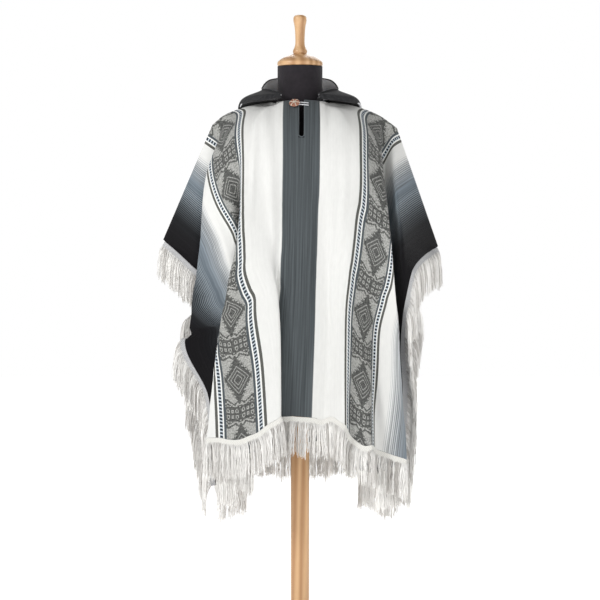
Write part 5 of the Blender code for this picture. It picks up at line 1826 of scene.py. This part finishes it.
@dataclass
class ButtonAndLoop:
    """The domed button with its crossed lacing, and the elastic loop behind it."""

    radius: float = 0.0135
    thickness: float = 0.005
    across: float = -0.0185
    down: float = 0.081
    loop_end: float = 0.019
    loop_radius: float = 0.0013
    loop_lift: float = 0.0032
    loop_half_gap: float = 0.0042
    profile: Profile = (
        (0.80, -0.50), (0.93, -0.44), (0.99, -0.28), (1.00, -0.05), (0.985, 0.18), (0.93, 0.34),
        (0.86, 0.41), (0.80, 0.40), (0.74, 0.36), (0.60, 0.44), (0.40, 0.50), (0.18, 0.53), (0.04, 0.54))
    lace_radius: float = 0.00075
    lace_points: int = 25
    lace_top: float = 0.56
    lace_bow: float = 0.10
    lace_wrap: float = 0.55
    lace_stack: float = 0.0004
    strands: int = 3

    def build(self, front: ClothPanel, face: Material, lace: Material,
              elastic: Material) -> list[Piece]:
        """Makes the button, its lacing and the loop."""
        lift = self.loop_lift + self.loop_radius + SEAM_GAP + self.thickness / 2
        middle, right, normal = front.face(self.across, self.down, lift)
        upright = np.cross(right, normal)
        profile = [(r * self.radius, d * self.thickness) for r, d in self.profile]
        button = turned("button_horn", profile, segments=64)
        stand = np.eye(4)
        stand[:3, 0], stand[:3, 1], stand[:3, 2], stand[:3, 3] = right, upright, normal, middle
        if np.linalg.det(stand[:3, :3]) < 0:
            stand[:3, 1] *= -1
        button.matrix_world = Matrix(stand.tolist())
        finish_piece(button, 50.0)
        coat(button, face)
        laces = [self._lace(n, middle, right, upright, normal) for n in range(self.strands)]
        start_piece()
        for piece in laces:
            piece.select_set(True)
            coat(piece, lace)
        bpy.context.view_layer.objects.active = laces[0]
        bpy.ops.object.join()
        laces[0].name = "button_lacing"
        return [button, laces[0], self._loop(front, elastic)]

    def _lace(self, number: int, middle: Array, right: Array, upright: Array, normal: Array) -> Piece:
        """One strand of the lacing, across the dome and over the rim."""
        turn = math.pi * (number + 0.25) / self.strands
        way = math.cos(turn) * right + math.sin(turn) * upright
        reach = self.radius + self.lace_radius * 0.4
        path = []
        for share in np.linspace(-1.0, 1.0, self.lace_points):
            edge = abs(share) ** 9
            rise = self.thickness * (self.lace_top - self.lace_bow * share**2 - self.lace_wrap * edge)
            crossing = self.lace_stack * number * (1 - abs(share)) ** 0.5
            rise += self.lace_radius * (1.0 - edge) + crossing
            path.append(middle + way * reach * share + normal * rise)
        return tube_along(f"lace_{number}", np.array(path), self.lace_radius, sides=2)

    def _loop(self, front: ClothPanel, elastic: Material) -> Piece:
        """The loop: two runs side by side that meet behind the button."""
        flat = [(a, -self.loop_half_gap) for a in np.linspace(self.loop_end, self.across, 14)]
        for t in np.linspace(math.pi / 2, 3 * math.pi / 2, 15)[1:-1]:
            flat.append((self.across + self.loop_half_gap * math.cos(t), -self.loop_half_gap * math.sin(t)))
        flat += [(a, self.loop_half_gap) for a in np.linspace(self.across, self.loop_end, 14)]
        path = [front.face(a, self.down + d, self.loop_lift)[0] for a, d in flat]
        loop = tube_along("elastic_loop", np.array(path), self.loop_radius)
        coat(loop, elastic)
        return loop


@dataclass
class DressForm:
    """The limbless jersey-covered form, from the hips to the neck."""

    rings: int = 46
    sections: Sequence[Ring] = (
        Ring(0.150, 0.092, 0.860), Ring(0.163, 0.102, 0.875), Ring(0.167, 0.106, 0.960),
        Ring(0.150, 0.094, 1.080, 0.004), Ring(0.166, 0.102, 1.200, 0.008), Ring(0.178, 0.104, 1.290, 0.008),
        Ring(0.186, 0.090, 1.345, 0.004), Ring(0.190, 0.078, 1.383), Ring(0.178, 0.064, 1.405, -0.002),
        Ring(0.150, 0.056, 1.420, -0.002), Ring(0.106, 0.053, 1.433), Ring(0.072, 0.054, 1.446),
        Ring(0.061, 0.057, 1.468), Ring(0.0585, 0.058, 1.505), Ring(0.0585, 0.0585, 1.566))

    def build(self, jersey: Material) -> list[Piece]:
        """Draws the form up through its rings."""
        rings = [Ring(*row) for row in resampled(self.sections, self.rings)]
        form = finish_piece(draw_up("dress_form", rings), 50.0)
        coat(form, jersey)
        return [form]


@dataclass
class TurnedStand:
    """The wooden base, pole, neck cap and finial, all turned about one axis."""

    base_radius: float = 0.19
    base_height: float = 0.028
    pole_radius: float = 0.024
    torso_bottom: float = 0.86
    neck_top: float = 1.566
    cap_top: float = 1.598
    finial: Profile = (
        (0.0165, 0.000), (0.0182, 0.004), (0.0182, 0.009), (0.0160, 0.014), (0.0130, 0.022),
        (0.0120, 0.034), (0.0128, 0.056), (0.0142, 0.072), (0.0165, 0.083), (0.0172, 0.090),
        (0.0160, 0.097), (0.0110, 0.101), (0.0050, 0.102))
    cap: Profile = (
        (0.0560, 0.0000), (0.0585, 0.0030), (0.0585, 0.0100), (0.0560, 0.0135), (0.0500, 0.0185),
        (0.0400, 0.0240), (0.0280, 0.0280), (0.0200, 0.0317))

    def build(self, wood: Material) -> list[Piece]:
        """Turns the four pieces."""
        radius, height = self.base_radius, self.base_height
        base = ((radius - 0.004, 0.0), (radius - 0.0012, 0.0012), (radius, 0.004), (radius, 0.018),
                (radius - 0.0022, 0.0222), (radius - 0.006, 0.0255), (radius - 0.011, 0.0272),
                (radius - 0.016, height), (0.060, height), (0.055, height))
        pole = ((self.pole_radius, height + SEAM_GAP), (self.pole_radius, self.torso_bottom - SEAM_GAP))
        made = [turned("wood_base", base),
                turned("wood_pole", pole),
                turned("wood_cap", resampled(self.cap, 22), self.neck_top + SEAM_GAP),
                turned("wood_finial", resampled(self.finial, 40), self.cap_top + SEAM_GAP)]
        for piece in made:
            finish_piece(piece, 35.0)
            coat(piece, wood)
        return made


class Lamp(NamedTuple):
    """A square soft light: its name, place, watts and edge length."""

    name: str
    place: tuple[float, float, float]
    power: float
    size: float


@dataclass
class Studio:
    """A plain pale floor, soft lights and the camera."""

    distance: float = 8.0
    view_height: float = 0.959
    frame_width: float = 1.56
    sensor: float = 36.0
    floor_size: float = 60.0
    floor_glow: float = 0.85
    surround: float = 0.38
    aim: tuple[float, float, float] = (0.0, 0.0, 1.0)
    lamps: Sequence[Lamp] = (
        Lamp("key", (-3.8, -2.7, 3.4), 116.0, 1.3),
        Lamp("fill", (2.6, -4.6, 2.3), 48.0, 2.4),
        Lamp("back", (0.6, 3.4, 3.2), 70.0, 2.6))

    def build(self) -> None:
        """Sets the stage."""
        self._camera()
        self._floor()
        for lamp in self.lamps:
            self._light(lamp)
        self._world()
        bpy.context.scene.view_settings.view_transform = "Standard"

    def _world(self) -> None:
        """A white surround that lights the garment less than it shines to the eye."""
        world = bpy.data.worlds.new("studio")
        world.use_nodes = True
        graph = Graph(world.node_tree)
        background = world.node_tree.nodes["Background"]
        background.inputs["Color"].default_value = grey(1.0)
        seen = graph.add("ShaderNodeLightPath").outputs["Is Camera Ray"]
        graph.feed(background.inputs["Strength"], graph.spread(seen, self.surround, 1.0))
        bpy.context.scene.world = world

    def _camera(self) -> None:
        """A level camera in front of the garment."""
        lens = bpy.data.cameras.new("camera")
        lens.sensor_width = self.sensor
        lens.lens = self.sensor * self.distance / self.frame_width
        camera = bpy.data.objects.new("camera", lens)
        camera.location = (0.0, -self.distance, self.view_height)
        camera.rotation_euler = (math.pi / 2, 0.0, 0.0)
        bpy.context.scene.collection.objects.link(camera)
        bpy.context.scene.camera = camera

    def _floor(self) -> None:
        """A plain pale floor under everything."""
        start_piece()
        bpy.ops.mesh.primitive_plane_add(size=self.floor_size, location=(0.0, 0.0, 0.0))
        floor = finish_piece(bpy.context.object)
        floor.name = "floor"
        material, _, shader = new_material("floor_paint", roughness=0.9)
        shader.inputs["Base Color"].default_value = linear(246, 246, 246)
        shader.inputs["Emission Color"].default_value = grey(1.0)
        shader.inputs["Emission Strength"].default_value = self.floor_glow
        coat(floor, material)

    def _light(self, lamp: Lamp) -> None:
        """A square soft light that looks at the garment."""
        area = bpy.data.lights.new(lamp.name, "AREA")
        area.energy = lamp.power
        area.size = lamp.size
        light = bpy.data.objects.new(lamp.name, area)
        light.location = lamp.place
        look = Vector(self.aim) - Vector(lamp.place)
        light.rotation_euler = look.to_track_quat("-Z", "Y").to_euler()
        bpy.context.scene.collection.objects.link(light)


def hand_over(pieces: Sequence[Piece], nodes: Sequence[str] = ()) -> None:
    """Lets pieces ride on the body and stand for CAD nodes."""
    for piece in pieces:
        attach(piece, "root")
        if nodes:
            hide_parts(*nodes)
        LOG.info("%s: %d faces", piece.name, len(piece.data.polygons))


def build_poncho(effects: SharedEffects) -> tuple[list[ClothPanel], list[BVHTree]]:
    """Makes both panels and their six fringes.

    Args:
        effects: The shared node groups.

    Returns:
        The front and back panel, with their fringes as trims, and the panels' trees.
    """
    front = ClothPanel("front", Facing.FRONT, FRONT_LENGTH, NeckHole(0.062, 0.019),
                       {"left": FRONT_LEFT_FOLDS, "right": FRONT_RIGHT_FOLDS},
                       {"left": FRONT_LEFT_EDGE, "right": FRONT_RIGHT_EDGE}, FRONT_CREASES, slit=True)
    back = ClothPanel("back", Facing.BACK, BACK_LENGTH, NeckHole(0.045, 0.036),
                      {"left": BACK_LEFT_FOLDS, "right": BACK_RIGHT_FOLDS},
                      {"left": BACK_LEFT_EDGE, "right": BACK_RIGHT_EDGE}, BACK_CREASES)
    front.lay_out(back)
    back.lay_out(front)
    cloth = WovenStripes(effects).material()
    for panel in (front, back):
        hand_over([panel.build(cloth)], [panel.name])
    graph = bpy.context.evaluated_depsgraph_get()
    trees = [BVHTree.FromObject(panel.piece, graph) for panel in (front, back)]
    hem_tape = FringeTape(effects, "hem_tape", (244, 243, 238), (214, 212, 205)).material()
    side_tape = FringeTape(effects, "side_tape", (214, 214, 214), (150, 151, 154)).material()
    yarn = FringeYarn(effects).material()
    for panel in (front, back):
        for number, edge in enumerate(Edge):
            name = f"fringe_{panel.name}" if edge is Edge.HEM else f"fringe_{edge.value}_{panel.name}"
            fringe = Fringe(panel, edge, name, seed=11 + number + (7 if panel is back else 0))
            made = fringe.build(trees, hem_tape if edge is Edge.HEM else side_tape, yarn)
            hand_over(made, [name])
            panel.trims.extend(made)
    return [front, back], trees


def main() -> None:
    """Builds every sub-assembly and dresses it."""
    logging.basicConfig(level=logging.INFO, format="%(name)s: %(message)s")
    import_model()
    Studio().build()
    effects = SharedEffects()
    (front, back), trees = build_poncho(effects)
    felt, lining = FeltCloth(effects).material(), RibbedLining().material()
    hood = Hood()
    hood_pieces = hood.build(trees, felt, lining)
    hand_over(hood_pieces, ["hood"])
    facing = FringeTape(effects, "neck_facing", (104, 111, 115), (78, 85, 88)).material()
    hand_over(NeckBinding().build(front, facing))
    lace = TwistedCord("button_lace", (240, 235, 222), (196, 186, 166)).material()
    elastic = TwistedCord("elastic_cord", (244, 245, 247), (206, 208, 213)).material()
    button, lacing, loop = ButtonAndLoop().build(front, LacedButtonFace().material(), lace, elastic)
    hand_over([button, lacing], ["button"])
    hand_over([loop], ["button_loop"])
    form = DressForm().build(JerseyCover().material())
    hand_over(form, ["torso"])
    for piece, node in zip(TurnedStand().build(TurnedWood(effects).material()),
                           ("base", "pole", "neck_cap", "finial")):
        hand_over([piece], [node])
    bpy.context.view_layer.update()


if __name__ == "__main__":
    main()
